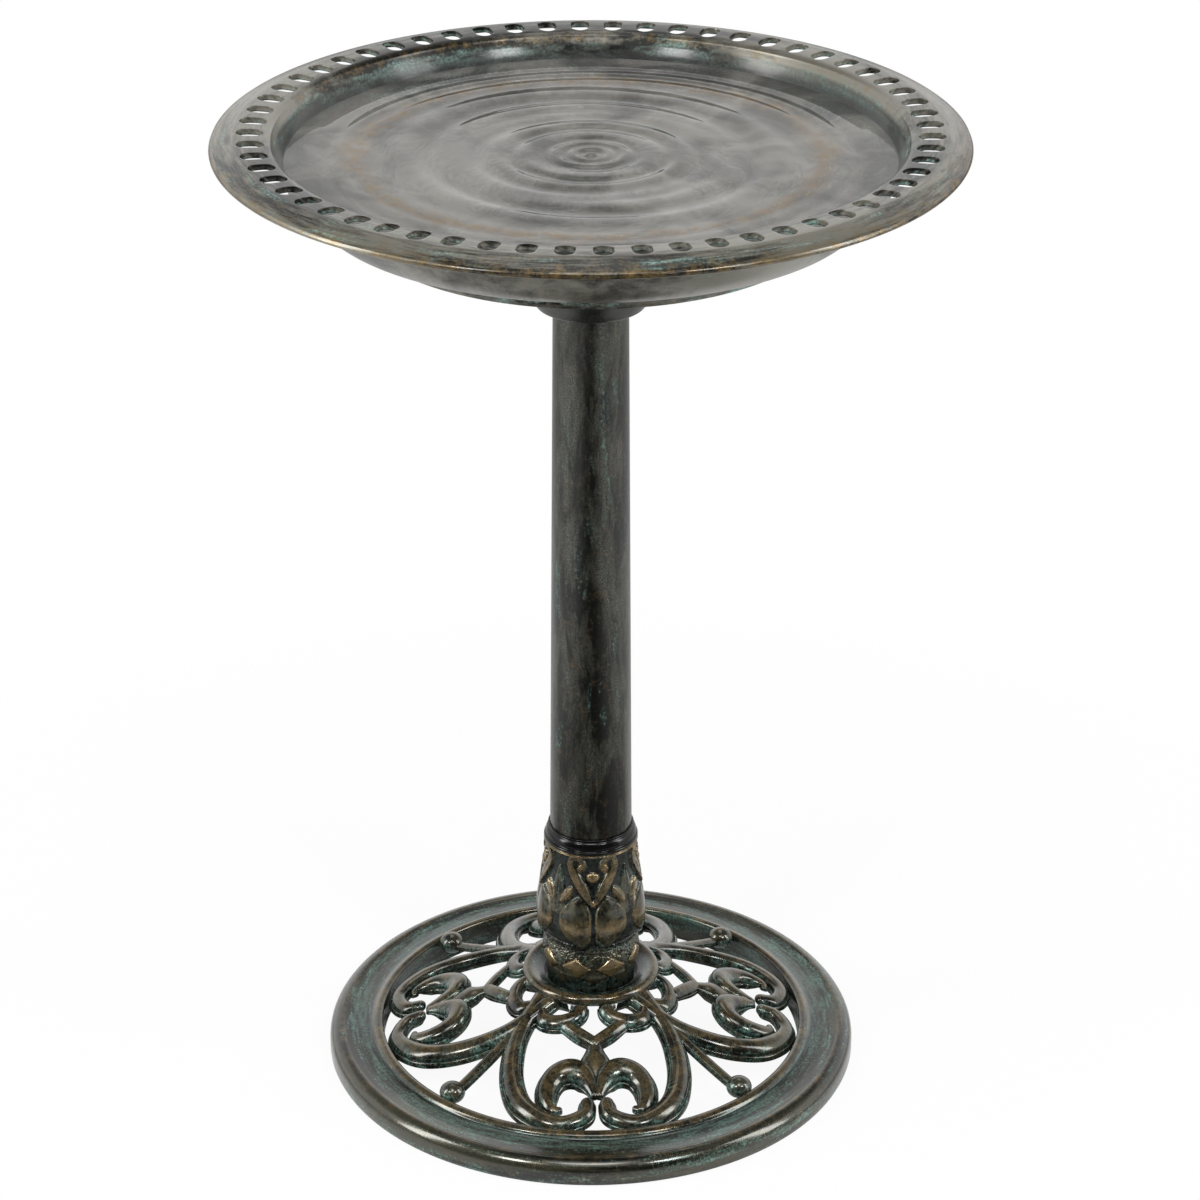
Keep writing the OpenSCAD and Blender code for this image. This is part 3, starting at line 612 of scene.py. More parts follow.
# %% Ring on the ground
ring_in = ring_r - 40
top_h = 21.5
shoulder, shoulder_mm = ring_r - 10, 10
inner_foot = [(ring_in + 0.6, 0, 0, 0.5), (ring_in, 0.6, 0, 0.6)]
bead_and_flat = smooth([
    (ring_in, top_h - 4.5, 0.2, 0.9), (ring_in + 0.8, top_h - 1.1, 0.7, 0.4), (ring_in + 3.9, top_h, 1, 0.1),
    (ring_in + 7, top_h - 1.2, 0.8, 0.3), (ring_in + 8.6, top_h - 3.2, 0.2, 0.95),
    (ring_in + 10, top_h - 3.9, 0, 0.9), (ring_in + 13, top_h - 4.3, 0, 0.84),
    (ring_in + 20, top_h - 4.6, 0, 0.82), (shoulder - 2.5, top_h - 3.9, 0.1, 0.5),
    (shoulder - 0.6, top_h - 3.5, 0.85, 0.3)], 6)
round_shoulder = smooth([(shoulder + shoulder_mm * math.cos(math.radians(b)),
                          top_h - 13.2 + shoulder_mm * math.sin(math.radians(b)), w, p)
                         for b, w, p in ((82, 0.75, 0.3), (66, 0.3, 0.4), (50, 0.22, 0.45), (34, 0.3, 0.4),
                                         (18, 0.35, 0.35), (0, 0.3, 0.5))], 3)
outer_foot = [(ring_r, 4, 0.3, 0.5), (ring_r, 1.6, 0.3, 0.6), (ring_r - 0.5, 0.5, 0.4, 0.5),
              (ring_r - 1.6, 0, 0, 0.5)]
ring = turned("base_ring", inner_foot + bead_and_flat + round_shoulder + outer_foot, 288)

# %% Saucer and hub
saucer_z, hub_r = neck_z + 10, 46.0
saucer_r = hub_r + 4.3
hub_z = neck_z - 10
roll_r = 4.2
bolt_r, seat_z = 4.4, neck_z + 7.95
# Under the rolled lip and inside the dish the patina numbers run to 1: black glaze that is also painted shade
# in the deep dish and under the lip.
under_saucer = [(bolt_r, hub_z, 0, 0.5), (hub_r - 24, hub_z, 0, 0.5)] + smooth(
    [(hub_r - 20, hub_z + 0.6, 0, 0.6), (hub_r - 12, hub_z + 3.6, 0, 0.6), (hub_r - 5, hub_z + 8.6, 0, 0.7),
     (hub_r - 1.5, saucer_z - 8.2, 0, 0.8), (saucer_r - 4, saucer_z - 7.2, 0.1, 0.9)], 4)[:-1]
rolled_lip = [(saucer_r - roll_r + roll_r * math.cos(t), saucer_z - roll_r + roll_r * math.sin(t), b, p)
              for t, b, p in zip(np.radians([-50, -25, 0, 25, 50, 75, 100]),
                                 [0.1, 0.3, 0.7, 1, 1, 1, 0.8], [0.8, 0.7, 0.4, 0.2, 0.2, 0.2, 0.3])]
dish = smooth([(saucer_r - 6.6, saucer_z - 0.7, 0.5, 0.5), (saucer_r - 9.2, saucer_z - 1.8, 0.15, 0.8),
               (saucer_r - 11.8, saucer_z - 3.2, 0, 1), (saucer_r - 14, saucer_z - 4.2, 0, 1),
               (saucer_r - 15.6, saucer_z - 4.6, 0, 1)], 5)
seat = [(saucer_r - 15.8, neck_z + 0.05, 0, 1), (27, neck_z + 0.05, 0, 1), (27, seat_z, 0, 0.5),
        (bolt_r, seat_z, 0, 0.5)]
saucer = turned("base_saucer", under_saucer + rolled_lip + dish + seat, 192)

# %% [markdown]
# ## The base's scrollwork
#
# The scrolls are bars with a rounded crest on a slightly wider flange. They swell and
# narrow as they curl, and all lie on a dome that climbs from the ring to the saucer.
# At the saucer they dive under its lip, so their ends don't show. No operator sweeps
# a section that changes width along a curve and drapes it on a dome, so each bar is
# swept in code from its centre line. One quarter is drawn, half of it mirrored, and
# then turned to its four places.

# %% The dome and the scroll pattern's grid
reach = ring_in - hub_r
scroll_turn = 2.0    # degrees that the pattern stands off the axes
rib_w = 14.0
dome_climb, dome_curve, dive = 37.5, 1.21, 1.3


def dome(radius):
    """The height of the bars' crests, which sinks fast once they are under the saucer."""
    climb = top_h - 0.5 + dome_climb * (np.maximum(ring_in - radius, 0) / (reach - 3)) ** dome_curve
    return climb - dive * np.maximum(saucer_r - 2 - radius, 0)


def at(across, out, width):
    """A place in the pattern: across it, and from the hub (0) to the ring (1)."""
    return (across * reach, hub_r + out * reach, width)


print("bars climb from %.1f to %.1f mm" % (dome(ring_in), dome(saucer_r)))

# %% The section of a bar
rib_foot = -4.4      # the rib's foot below the dome, and the flange's top
crest_angles = np.radians([3, 14, 28, 42, 56, 73, 90, 107, 124, 138, 152, 166, 177])


def bar_section(width, crest):
    """Rows of offset, height below the dome, brass and patina across one bar."""
    half = width / 2
    lip = 1.7 * min(max((width - 6) / 8, 0.3), 1)
    wall = 4.9 * min(max((width - 5.5) / 7.5, 0.3), 1)
    # The patina numbers reach 1 in the groove at the rib's foot: black glaze that is also painted shade in
    # the groove.
    side = [(half + lip, rib_foot - wall, 0, 0.7), (half + lip, rib_foot - 0.42 * wall, 0.1, 0.6),
            (half + 0.8 * lip, rib_foot - 0.2 * wall, 0.3, 0.5),
            (half + 0.35 * lip, rib_foot - 0.14 * wall, 0.1, 0.75),
            (half + 0.05, rib_foot - 0.2 * wall, 0, 1)]
    left = [(-x, z, b, p) for x, z, b, p in side]
    rib = [(-half * math.cos(t), rib_foot + crest * half * math.sin(t), math.sin(t) ** 3,
            0.9 - 0.7 * math.sin(t)) for t in crest_angles]
    return left + rib + side[::-1]


print("points across one bar:", len(bar_section(rib_w, 0.85)))


# %% Sweep one bar
def rounded_end(end, before):
    """A few more rows past a bar's end that narrow to a round tip."""
    ahead = (end - before)[:2] / np.hypot(*(end - before)[:2])
    return [(*(end[:2] + ahead * end[2] / 2 * math.sin(t)), end[2] * math.cos(t))
            for t in np.radians([20, 40, 58, 72, 83])]


def bar(path, round_start=False, round_end=True, crest=0.85):
    """Vertices, faces, brass and patina of a bar along rows of x, y and width."""
    rows = np.array(smooth(path, 7) if len(path) > 2 else np.linspace(path[0], path[1], 12), float)
    if round_start:
        rows = np.vstack([rounded_end(rows[0], rows[1])[::-1], rows])
    if round_end:
        rows = np.vstack([rows, rounded_end(rows[-1], rows[-2])])
    tangent = np.gradient(rows[:, :2], axis=0)
    tangent /= np.hypot(tangent[:, 0], tangent[:, 1])[:, None]
    normal = np.column_stack([-tangent[:, 1], tangent[:, 0]])
    verts, brass, patina_and_shade = [], [], []
    for (x, y, w), (nx, ny) in zip(rows, normal):
        for off, low, rub, green in bar_section(w, crest):
            px, py = x + nx * off, y + ny * off
            verts.append((px, py, float(dome(math.hypot(px, py))) + low))
            brass.append(rub)
            patina_and_shade.append(green)
    n = len(bar_section(rib_w, crest))
    faces = [(i * n + j, i * n + (j + 1) % n, (i + 1) * n + (j + 1) % n, (i + 1) * n + j)
             for i in range(len(rows) - 1) for j in range(n)]
    faces += [tuple(range(n))[::-1], tuple((len(rows) - 1) * n + j for j in range(n))]
    return verts, faces, brass, patina_and_shade


# %% The bars' centre lines: places in the pattern, and widths
def loop(centre, half_long, half_high, width):
    """An oval that is open where it goes under the saucer."""
    return [(centre[0] + half_long * math.cos(t), centre[1] + half_high * math.sin(t), width)
            for t in np.linspace(0, math.pi + 0.75, 11)]


big_scroll = [at(0.29, -0.235, rib_w - 3), at(0.378, -0.09, rib_w - 2), at(0.5, 0.12, rib_w - 1),
              at(0.55, 0.305, rib_w), at(0.558, 0.5, rib_w + 0.5), at(0.512, 0.69, rib_w + 0.5),
              at(0.4, 0.83, rib_w - 0.5), at(0.267, 0.9, rib_w - 2), at(0.16, 0.885, rib_w - 2.5),
              at(0.084, 0.835, rib_w - 2.5), at(0.065, 0.76, rib_w - 3)]
heart_curl = [at(0.018, 0.675, rib_w - 7), at(0.046, 0.59, rib_w - 2), at(0.097, 0.516, rib_w + 2),
              at(0.175, 0.488, rib_w + 3), at(0.263, 0.516, rib_w + 2.5), at(0.318, 0.59, rib_w + 1.5),
              at(0.332, 0.673, rib_w - 0.5), at(0.315, 0.747, rib_w - 4), at(0.285, 0.787, rib_w - 7),
              at(0.253, 0.787, rib_w - 9)]
hub_loop = [at(0.27, -0.22, rib_w - 4), at(0.353, -0.045, rib_w - 3.5)]
hub_loop += loop(at(0.215, 0.023, 0), 14.2, 9, rib_w - 3.5)
arm = [at(0.189, 0.138, rib_w - 5.5), at(0.097, 0.217, rib_w - 4.5), at(0, 0.286, rib_w - 5)]
bud = [at(0, 0.285, rib_w - 6), at(0, 0.35, rib_w - 1), at(0, 0.415, rib_w + 5.5), at(0, 0.48, rib_w + 2),
       at(0, 0.56, rib_w - 8), at(0, 0.63, rib_w - 11)]
spoke = [at(0, -0.04, rib_w - 6), at(0, 0.9, rib_w - 6)]
print("the spoke runs from %.0f to %.0f mm from the axis" % (spoke[0][1], spoke[1][1]))


# %% The bars of one quarter
def mirrored(path):
    return [(-x, y, w) for x, y, w in path]


quarter = []
for flip in (list, mirrored):
    quarter += [bar(flip(big_scroll)), bar(flip(heart_curl), round_start=True),
                bar(flip(hub_loop), round_end=False), bar(flip(arm), round_start=True)]
quarter.append(bar(bud, round_start=True, crest=0.5))
between = math.radians(45)
spoke_between = [(-y * math.sin(between), y * math.cos(between), w) for _, y, w in spoke]
quarter.append(bar(spoke_between, round_end=False))
print("bars in one quarter:", len(quarter))

# %% Join the four quarters into one mesh
mesh = bpy.data.meshes.new("base_scrolls")
verts, faces, brass, patina_and_shade = [], [], [], []
for k in range(4):
    quarter_turn = math.radians(scroll_turn + 90 * k)
    c, s = math.cos(quarter_turn), math.sin(quarter_turn)
    for v, f, b, p in quarter:
        first = len(verts)
        verts += [((x * c - y * s) * MM, (x * s + y * c) * MM, h * MM) for x, y, h in v]
        faces += [tuple(first + i for i in face) for face in f]
        brass += b
        patina_and_shade += p
mesh.from_pydata(verts, [], faces)
mesh.update()
scrolls = bpy.data.objects.new("base_scrolls", mesh)
bpy.context.scene.collection.objects.link(scrolls)
set_attribute(mesh, "brass", brass)
set_attribute(mesh, "patina_and_shade", patina_and_shade)
clear_selection()
bpy.context.view_layer.objects.active = scrolls
scrolls.select_set(True)
edit_all()
bpy.ops.mesh.normals_make_consistent(inside=False)
bpy.ops.object.mode_set(mode="OBJECT")
bpy.ops.object.shade_smooth_by_angle(angle=math.radians(50))
print("scrolls", len(mesh.polygons), "faces")

# %% [markdown]
# ## The balls on the spokes
#
# Near the ring each spoke carries a ball, cast in one with it and a little squashed.
# A sphere is added at each place and squashed about its own middle.

# %% Spoke balls
ball_out = hub_r + 0.925 * reach
ball_r = 9.3
ball_z = float(dome(ball_out)) - 2
squash = 0.85
balls = []
for k in range(4):
    way = math.radians(scroll_turn + 90 * k + 135)
    clear_selection()
    bpy.ops.mesh.primitive_uv_sphere_add(segments=32, ring_count=20, radius=ball_r * MM, location=(
        ball_out * math.cos(way) * MM, ball_out * math.sin(way) * MM, ball_z * MM))
    ball = bpy.context.object
    ball.name = ball.data.name = "base_ball_%d" % (k + 1)
    bpy.ops.object.transform_apply(location=True, rotation=True, scale=True)
    edit_all()
    bpy.ops.transform.resize(value=(1, 1, squash), center_override=(0, 0, ball_z * MM))
    bpy.ops.object.mode_set(mode="OBJECT")
    bpy.ops.object.shade_smooth()
    # Brass is rubbed on the top, and the black glaze on the lower half is painted shade under the ball.
    upward = np.clip((places(ball.data)[:, 2] - ball_z) / ball_r, 0, 1)
    set_attribute(ball.data, "brass", 0.1 + 0.7 * upward)
    set_attribute(ball.data, "patina_and_shade", 0.8 - 0.7 * upward)
    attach(ball, "pedestal")
    balls.append(ball)
for piece in (ring, saucer, scrolls):
    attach(piece, "pedestal")
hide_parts("base")
print("balls", round(ball_out, 1), "mm from the axis, middle at", round(ball_z, 1), "mm")

# %% [markdown]
# ## Colours and nodes
#
# A paint card gives a colour as sRGB hex and Blender works in linear numbers, so one
# function turns the first into the second. A finish is a tree of nodes. Each node is
# added in the same way, with its settings, what goes into it and the output that the
# next node wants, so one function does that for every node in this file.

# %% Colour
def colour(code):
    """sRGB hex to the linear numbers that Blender works in."""
    parts = [int(code[i:i + 2], 16) / 255 for i in (1, 3, 5)]
    return tuple(c / 12.92 if c <= 0.04045 else ((c + 0.055) / 1.055) ** 2.4 for c in parts) + (1.0,)


print("rubbed brass in linear numbers:", [round(c, 3) for c in colour("#77643f")])


# %% Adding a node
def add(tree, kind, inputs=None, out=0, **settings):
    """Adds a shader node of a kind, sets its properties and inputs, and gives one output, or all for None."""
    node = tree.nodes.new("ShaderNode" + kind)
    for key, value in settings.items():
        setattr(node, key, value)
    for key, value in (inputs or {}).items():
        socket = node.inputs[key]
        if isinstance(value, bpy.types.NodeSocket):
            tree.links.new(value, socket)
        else:
            socket.default_value = value
    return node.outputs if out is None else node.outputs[out]


def new_material(name):
    material = bpy.data.materials.new(name)
    material.use_nodes = True
    material.node_tree.nodes.clear()
    return material, material.node_tree


def grain(mm):
    """The noise scale that gives spots about this many millimetres across."""
    return 1 / (mm * MM)


print("the scale for spots of 2 mm:", grain(2))

# %% [markdown]
# ## Antique verdigris bronze
#
# The real finish is several coats of paint by hand. A near-black bronze ground goes
# on first and a cloudy grey-brown is dragged over it with a dry brush. Blue-green is
# stippled where the metal would weather, brass paste is rubbed over the high places
# with a rag, and a black glaze is left to settle in the hollows. That black is also
# painted shade here: it lies deepest in grooves, dishes, slots and under overhangs,
# where shadow falls. Last comes a satin lacquer. The nodes lay down the same coats in
# the same order, one function for each coat. The brass attribute says where the rag
# went, and the patina attribute says where the blue-green, the glaze and the painted
# shade go.
#
# A brush leaves streaks. On the basin and the ring it went round the axis, so the
# noises are looked up in coordinates that hardly change along a circle: the direction
# from the axis, shrunk, and the height less the radius. On the column it went up and
# down, so the height is squeezed.

# %% Brush strokes
def stroke_space(tree, where, strokes, radius_mm, inner_mm):
    """Coordinates in which a noise is drawn out along the brush strokes."""
    if strokes == "none":
        return where
    if strokes == "upright":
        return add(tree, "Mapping", {"Vector": where, "Scale": (1, 1, 0.22)})
    parts = add(tree, "SeparateXYZ", {"Vector": where}, None)
    flat = add(tree, "CombineXYZ", {"X": parts["X"], "Y": parts["Y"]})
    radius = add(tree, "VectorMath", {0: flat}, "Value", operation="LENGTH")
    heading = add(tree, "VectorMath", {0: flat}, operation="NORMALIZE")
    drawn = add(tree, "VectorMath", {0: heading, "Scale": 0.14 * radius_mm * MM}, operation="SCALE")
    depth = add(tree, "Math", {0: parts["Z"], 1: radius}, operation="SUBTRACT")
    lift = add(tree, "CombineXYZ", {"Z": depth})
    swept = add(tree, "VectorMath", {0: drawn, 1: lift}, operation="ADD")
    if not inner_mm:
        return swept
    outside = add(tree, "MapRange", {"Value": radius, "From Min": (inner_mm - 2) * MM,
                                     "From Max": inner_mm * MM})
    return add(tree, "Mix", {"Factor": outside, "A": where, "B": swept}, "Result", data_type="VECTOR")


# %% Ground and clouds
def cloudy_coat(tree, clouds, streaks, fine, ground, cloud, cloudy, speckle):
    """A cloudy coat dragged over the dark ground with a dry brush."""
    streaky = add(tree, "Math", {0: streaks, 1: 0.35, 2: clouds}, operation="MULTIPLY_ADD")
    dragged = add(tree, "Math", {0: fine, 1: speckle, 2: streaky}, operation="MULTIPLY_ADD")
    low = 0.8 + 0.5 * speckle - 0.3 * cloudy
    mask = add(tree, "MapRange", {"Value": dragged, "From Min": low, "From Max": low + 0.16})
    return add(tree, "Mix", {"Factor": mask, "A": colour(ground), "B": colour(cloud)}, "Result",
               data_type="RGBA")


# %% Blue-green
def verdigris_coat(tree, paint, brushed, streaks, fine, patina_and_shade, green, pale_green, verdant, speckle):
    """Blue-green stippled in patches, paler in their middle and broken up by the brush; its mask too."""
    patches = add(tree, "TexNoise", {"Vector": brushed, "Scale": grain(15), "Detail": 8.0,
                                     "Roughness": 0.68, "Distortion": 0.6})
    stipple = add(tree, "Math", {0: fine, 1: 0.75 * speckle, 2: patches}, operation="MULTIPLY_ADD")
    weathered = add(tree, "Math", {0: patina_and_shade, 1: 0.3, 2: stipple}, operation="MULTIPLY_ADD")
    low = 0.81 + 0.375 * speckle - 0.2 * verdant
    patch = add(tree, "MapRange", {"Value": weathered, "From Min": low, "From Max": low + 0.12,
                                   "To Max": 0.85})
    bristles = add(tree, "MapRange", {"Value": streaks, "From Min": 0.36, "From Max": 0.6})
    mask = add(tree, "Math", {0: patch, 1: bristles}, operation="MULTIPLY")
    paler = add(tree, "Math", {0: patch, 1: 0.15, 2: fine}, operation="MULTIPLY_ADD")
    pale = add(tree, "MapRange", {"Value": paler, "From Min": 0.48, "From Max": 0.78})
    greens = add(tree, "Mix", {"Factor": pale, "A": colour(green), "B": colour(pale_green)}, "Result",
                 data_type="RGBA")
    return add(tree, "Mix", {"Factor": mask, "A": paint, "B": greens}, "Result", data_type="RGBA"), mask


# %% Rubbed brass
def brass_coat(tree, paint, where, fine, brass, brass_tone, brassy):
    """Brass paste rubbed over the high places with a rag."""
    rag = add(tree, "TexNoise", {"Vector": where, "Scale": grain(8), "Detail": 6.0, "Roughness": 0.7})
    smear = add(tree, "Math", {0: fine, 1: 0.5, 2: rag}, operation="MULTIPLY_ADD")
    rubbed = add(tree, "Math", {0: brass, 1: 0.5 * brassy, 2: smear}, operation="MULTIPLY_ADD")
    mask = add(tree, "MapRange", {"Value": rubbed, "From Min": 0.88, "From Max": 1.22, "To Max": 0.9})
    return add(tree, "Mix", {"Factor": mask, "A": paint, "B": colour(brass_tone)}, "Result",
               data_type="RGBA")


# %% Black glaze with painted shade, and wear
def glaze_and_shade_coat(tree, paint, where, clouds, patina_and_shade, flecks):
    """Black glaze left in the low places, where it also paints their shade, and fine pale flecks where the
    paint has worn.
    """
    # The near-black #0b0d0a, laid where the patina number is high, is black glaze and painted shade in one.
    settled_glaze_and_shade = add(tree, "MapRange", {"Value": patina_and_shade, "From Min": 0.7, "From Max": 1.0, "To Max": 0.9})
    glazed_and_shaded = add(tree, "Mix", {"Factor": settled_glaze_and_shade, "A": paint, "B": colour("#0b0d0a")}, "Result",
                 data_type="RGBA")
    cracks = add(tree, "TexVoronoi", {"Vector": where, "Scale": grain(1.7)}, "Distance",
                 feature="DISTANCE_TO_EDGE")
    thin = add(tree, "MapRange", {"Value": cracks, "From Min": 0.02, "From Max": 0.12, "To Min": 1.0,
                                  "To Max": 0.0})
    rubbed = add(tree, "MapRange", {"Value": clouds, "From Min": 0.45, "From Max": 0.7})
    worn = add(tree, "Math", {0: thin, 1: rubbed}, operation="MULTIPLY")
    share = add(tree, "Math", {0: worn, 1: flecks}, operation="MULTIPLY")
    return add(tree, "Mix", {"Factor": share, "A": glazed_and_shaded, "B": colour("#8d948a")}, "Result",
               data_type="RGBA")


# %% The whole finish
def verdigris_bronze(name, ground, cloud, green, pale_green, brass_tone, *, strokes, radius_mm=150,
                     inner_mm=0, cloud_mm=21, cloudy, verdant, brassy, flecks, speckle=0.4, metal=0.5,
                     roughness=0.3, relief_mm=0.12, lacquer=0.6):
    """Painted resin: five coats, and a satin lacquer that is duller over the blue-green."""
    material, tree = new_material(name)
    where = add(tree, "TexCoord", None, "Object")
    brass = add(tree, "Attribute", None, "Fac", attribute_name="brass")
    patina_and_shade = add(tree, "Attribute", None, "Fac", attribute_name="patina_and_shade")
    brushed = stroke_space(tree, where, strokes, radius_mm, inner_mm)
    streaks = add(tree, "TexNoise", {"Vector": brushed, "Scale": grain(2.6), "Detail": 4.0,
                                     "Roughness": 0.6, "Distortion": 0.3})
    fine = add(tree, "TexNoise", {"Vector": where, "Scale": grain(2.2), "Detail": 5.0, "Roughness": 0.75})
    clouds = add(tree, "TexNoise", {"Vector": brushed, "Scale": grain(cloud_mm), "Detail": 7.0,
                                    "Roughness": 0.62, "Distortion": 0.5})
    paint = cloudy_coat(tree, clouds, streaks, fine, ground, cloud, cloudy, speckle)
    paint, greened = verdigris_coat(tree, paint, brushed, streaks, fine, patina_and_shade, green, pale_green, verdant,
                                    speckle)
    paint = brass_coat(tree, paint, where, fine, brass, brass_tone, brassy)
    paint = glaze_and_shade_coat(tree, paint, where, clouds, patina_and_shade, flecks)
    dull = add(tree, "Math", {0: greened, 1: 0.2, 2: roughness - 0.08}, operation="MULTIPLY_ADD")
    rough = add(tree, "Math", {0: fine, 1: 0.16, 2: dull}, operation="MULTIPLY_ADD")
    metallic = add(tree, "Math", {0: greened, 1: -0.6 * metal, 2: metal}, operation="MULTIPLY_ADD")
    height = add(tree, "Math", {0: streaks, 1: 0.8, 2: fine}, operation="MULTIPLY_ADD")
    bump = add(tree, "Bump", {"Height": height, "Strength": 0.5, "Distance": relief_mm * MM})
    shader = add(tree, "BsdfPrincipled", {
        "Base Color": paint, "Metallic": metallic, "Roughness": rough, "Normal": bump, "IOR": 1.5,
        "Coat Weight": lacquer, "Coat Roughness": 0.14})
    add(tree, "OutputMaterial", {"Surface": shader}, None)
    return material


# %% [markdown]
# ## One finish, five mixes
#
# Each piece was painted with the same coats, but not with the same hand. The basin is
# the palest and has the widest clouds. The column is darker and brushed up and down.
# The collar has the most brass, the base the most green and the most gloss, and the
# socket under the basin hardly got more than the ground.

# %% Mix the finishes
basin_bronze = verdigris_bronze(
    "verdigris_bronze_basin", "#191914", "#827f74", "#2a4a42", "#a3c6bd", "#80693f",
    strokes="round", radius_mm=230, cloud_mm=34, cloudy=0.75, verdant=0.76, brassy=0.5, flecks=0.08,
    speckle=0.15, metal=0.55, roughness=0.31, relief_mm=0.16, lacquer=0.4)
column_bronze = verdigris_bronze(
    "verdigris_bronze_column", "#10110d", "#302f27", "#1f3833", "#668a7f", "#5e4a2e",
    strokes="upright", cloud_mm=13, cloudy=0.68, verdant=0.5, brassy=0.7, flecks=0.35, metal=0.45,
    roughness=0.3, relief_mm=0.2, lacquer=0.25)
collar_bronze = verdigris_bronze(
    "verdigris_bronze_collar", "#0f110c", "#4d4b3b", "#1b3a33", "#6a9385", "#8f7a55",
    strokes="none", cloud_mm=9, cloudy=0.8, verdant=0.75, brassy=0.85, flecks=0.05, metal=0.65,
    roughness=0.24, relief_mm=0.05, lacquer=0.6)
base_bronze = verdigris_bronze(
    "verdigris_bronze_base", "#0f110b", "#403e30", "#24423b", "#78a396", "#77643f",
    strokes="round", radius_mm=150, inner_mm=ring_in, cloudy=0.72, verdant=0.85, brassy=0.5, flecks=0.12,
    metal=0.5, roughness=0.21, relief_mm=0.09, lacquer=0.9)
socket_bronze = verdigris_bronze(
    "verdigris_bronze_socket", "#0f100d", "#1c1d18", "#16241f", "#31483f", "#4a3c24",
    strokes="round", radius_mm=50, cloudy=0.4, verdant=0.3, brassy=0.5, flecks=0.1, metal=0.4, roughness=0.34)
print("bronze finishes:", [m.name for m in bpy.data.materials if m.name.startswith("verdigris")])


# %% Put a finish on a piece
def finish(piece, material):
    piece.data.materials.clear()
    piece.data.materials.append(material)


for piece, material in ((bowl, basin_bronze), (socket, socket_bronze), (tube, column_bronze),
                        (collar, collar_bronze), (neck, collar_bronze), (ring, base_bronze),
                        (saucer, base_bronze), (scrolls, base_bronze)):
    finish(piece, material)
for ball in balls:
    finish(ball, base_bronze)
print("painted:", 8 + len(balls), "pieces")

# %% [markdown]
# ## The water's own look
#
# Clean water bends light with an index of 1.33. Water in an outdoor basin is also a
# little cloudy, so part of the light is sent back and the rest goes through. A line
# of brown silt lies where the basin's floor steps up, near 157 mm from the axis. It
# is painted into the water as a wandering ring with gaps. Small waves that a mesh
# can't carry are left to the bump.

# %% Murk and silt
silt_reach, silt_wander, silt_width = 0.172, 0.03, 0.011     # metres
water_stuff, tree = new_material("clear_basin_water")
where = add(tree, "TexCoord", None, "Object")
murk = add(tree, "TexNoise", {"Vector": where, "Scale": grain(60), "Detail": 3.0, "Distortion": 1.2})
pale = add(tree, "MapRange", {"Value": murk, "From Min": 0.38, "From Max": 0.62})
cloudy_water = add(tree, "Mix", {"Factor": pale, "A": colour("#8f8f8c"), "B": colour("#d2cfc9")}, "Result",
                   data_type="RGBA")
spot = add(tree, "SeparateXYZ", {"Vector": where}, None)
flat_spot = add(tree, "CombineXYZ", {"X": spot["X"], "Y": spot["Y"]})
from_axis = add(tree, "VectorMath", {0: flat_spot}, "Value", operation="LENGTH")
drift = add(tree, "TexNoise", {"Vector": where, "Scale": grain(30), "Detail": 4.0, "Roughness": 0.65})
wander = add(tree, "Math", {0: drift, 1: silt_wander, 2: from_axis}, operation="MULTIPLY_ADD")
inward = add(tree, "Math", {0: wander, 1: silt_reach}, operation="SUBTRACT")
off_line = add(tree, "Math", {0: inward}, operation="ABSOLUTE")
line = add(tree, "MapRange", {"Value": off_line, "From Max": silt_width, "To Min": 0.95, "To Max": 0.0})
dabs = add(tree, "TexNoise", {"Vector": where, "Scale": grain(9), "Detail": 6.0, "Roughness": 0.65})
gaps = add(tree, "MapRange", {"Value": dabs, "From Min": 0.38, "From Max": 0.58})
silt = add(tree, "Math", {0: line, 1: gaps}, operation="MULTIPLY")
silted = add(tree, "Mix", {"Factor": silt, "A": cloudy_water, "B": colour("#c4a478")}, "Result",
             data_type="RGBA")
print("silt line about", round((silt_reach - silt_wander / 2) / MM), "mm from the axis")

# %% Water shader
shimmer = add(tree, "TexNoise", {"Vector": where, "Scale": grain(14), "Detail": 2.0})
bump = add(tree, "Bump", {"Height": shimmer, "Strength": 0.3, "Distance": 0.3 * MM})
shader = add(tree, "BsdfPrincipled", {"Base Color": silted, "Roughness": 0.03, "IOR": 1.33,
                                      "Transmission Weight": 0.72, "Normal": bump})
add(tree, "OutputMaterial", {"Surface": shader}, None)
finish(water, water_stuff)
print("water finished:", water.data.materials[0].name)

# %% [markdown]
# ## Black gloss, zinc, rubber and plain moulded plastic
#
# The trim ring is glossy black plastic, so nothing shows on it but narrow highlights.
# The fixings are zinc plated steel, a light grey metal with a fine spangle. The plugs
# hidden in the column are black plastic with a fine moulded grain, and the gasket is
# rubber, which hardly shines at all. All four are plain: two close tones in small
# spots, and a slight roughness and bump that follow the same spots.

# %% Plain stuff
def plain_stuff(name, tone, worn, metallic, roughness, spot_mm, bump_mm, lacquer=0.0, mirror=0.5):
    """Moulded or plated stuff in two close tones, with spots of this size."""
    material, tree = new_material(name)
    where = add(tree, "TexCoord", None, "Object")
    spots = add(tree, "TexNoise", {"Vector": where, "Scale": grain(spot_mm), "Detail": 6.0,
                                   "Roughness": 0.65})
    paint = add(tree, "Mix", {"Factor": spots, "A": colour(tone), "B": colour(worn)}, "Result",
                data_type="RGBA")
    rough = add(tree, "MapRange", {"Value": spots, "To Min": roughness - 0.08, "To Max": roughness + 0.08})
    bump = add(tree, "Bump", {"Height": spots, "Strength": 0.4, "Distance": bump_mm * MM})
    shader = add(tree, "BsdfPrincipled", {
        "Base Color": paint, "Metallic": metallic, "Roughness": rough, "Normal": bump,
        "Coat Weight": lacquer, "Coat Roughness": 0.05, "Specular IOR Level": mirror})
    add(tree, "OutputMaterial", {"Surface": shader}, None)
    return material


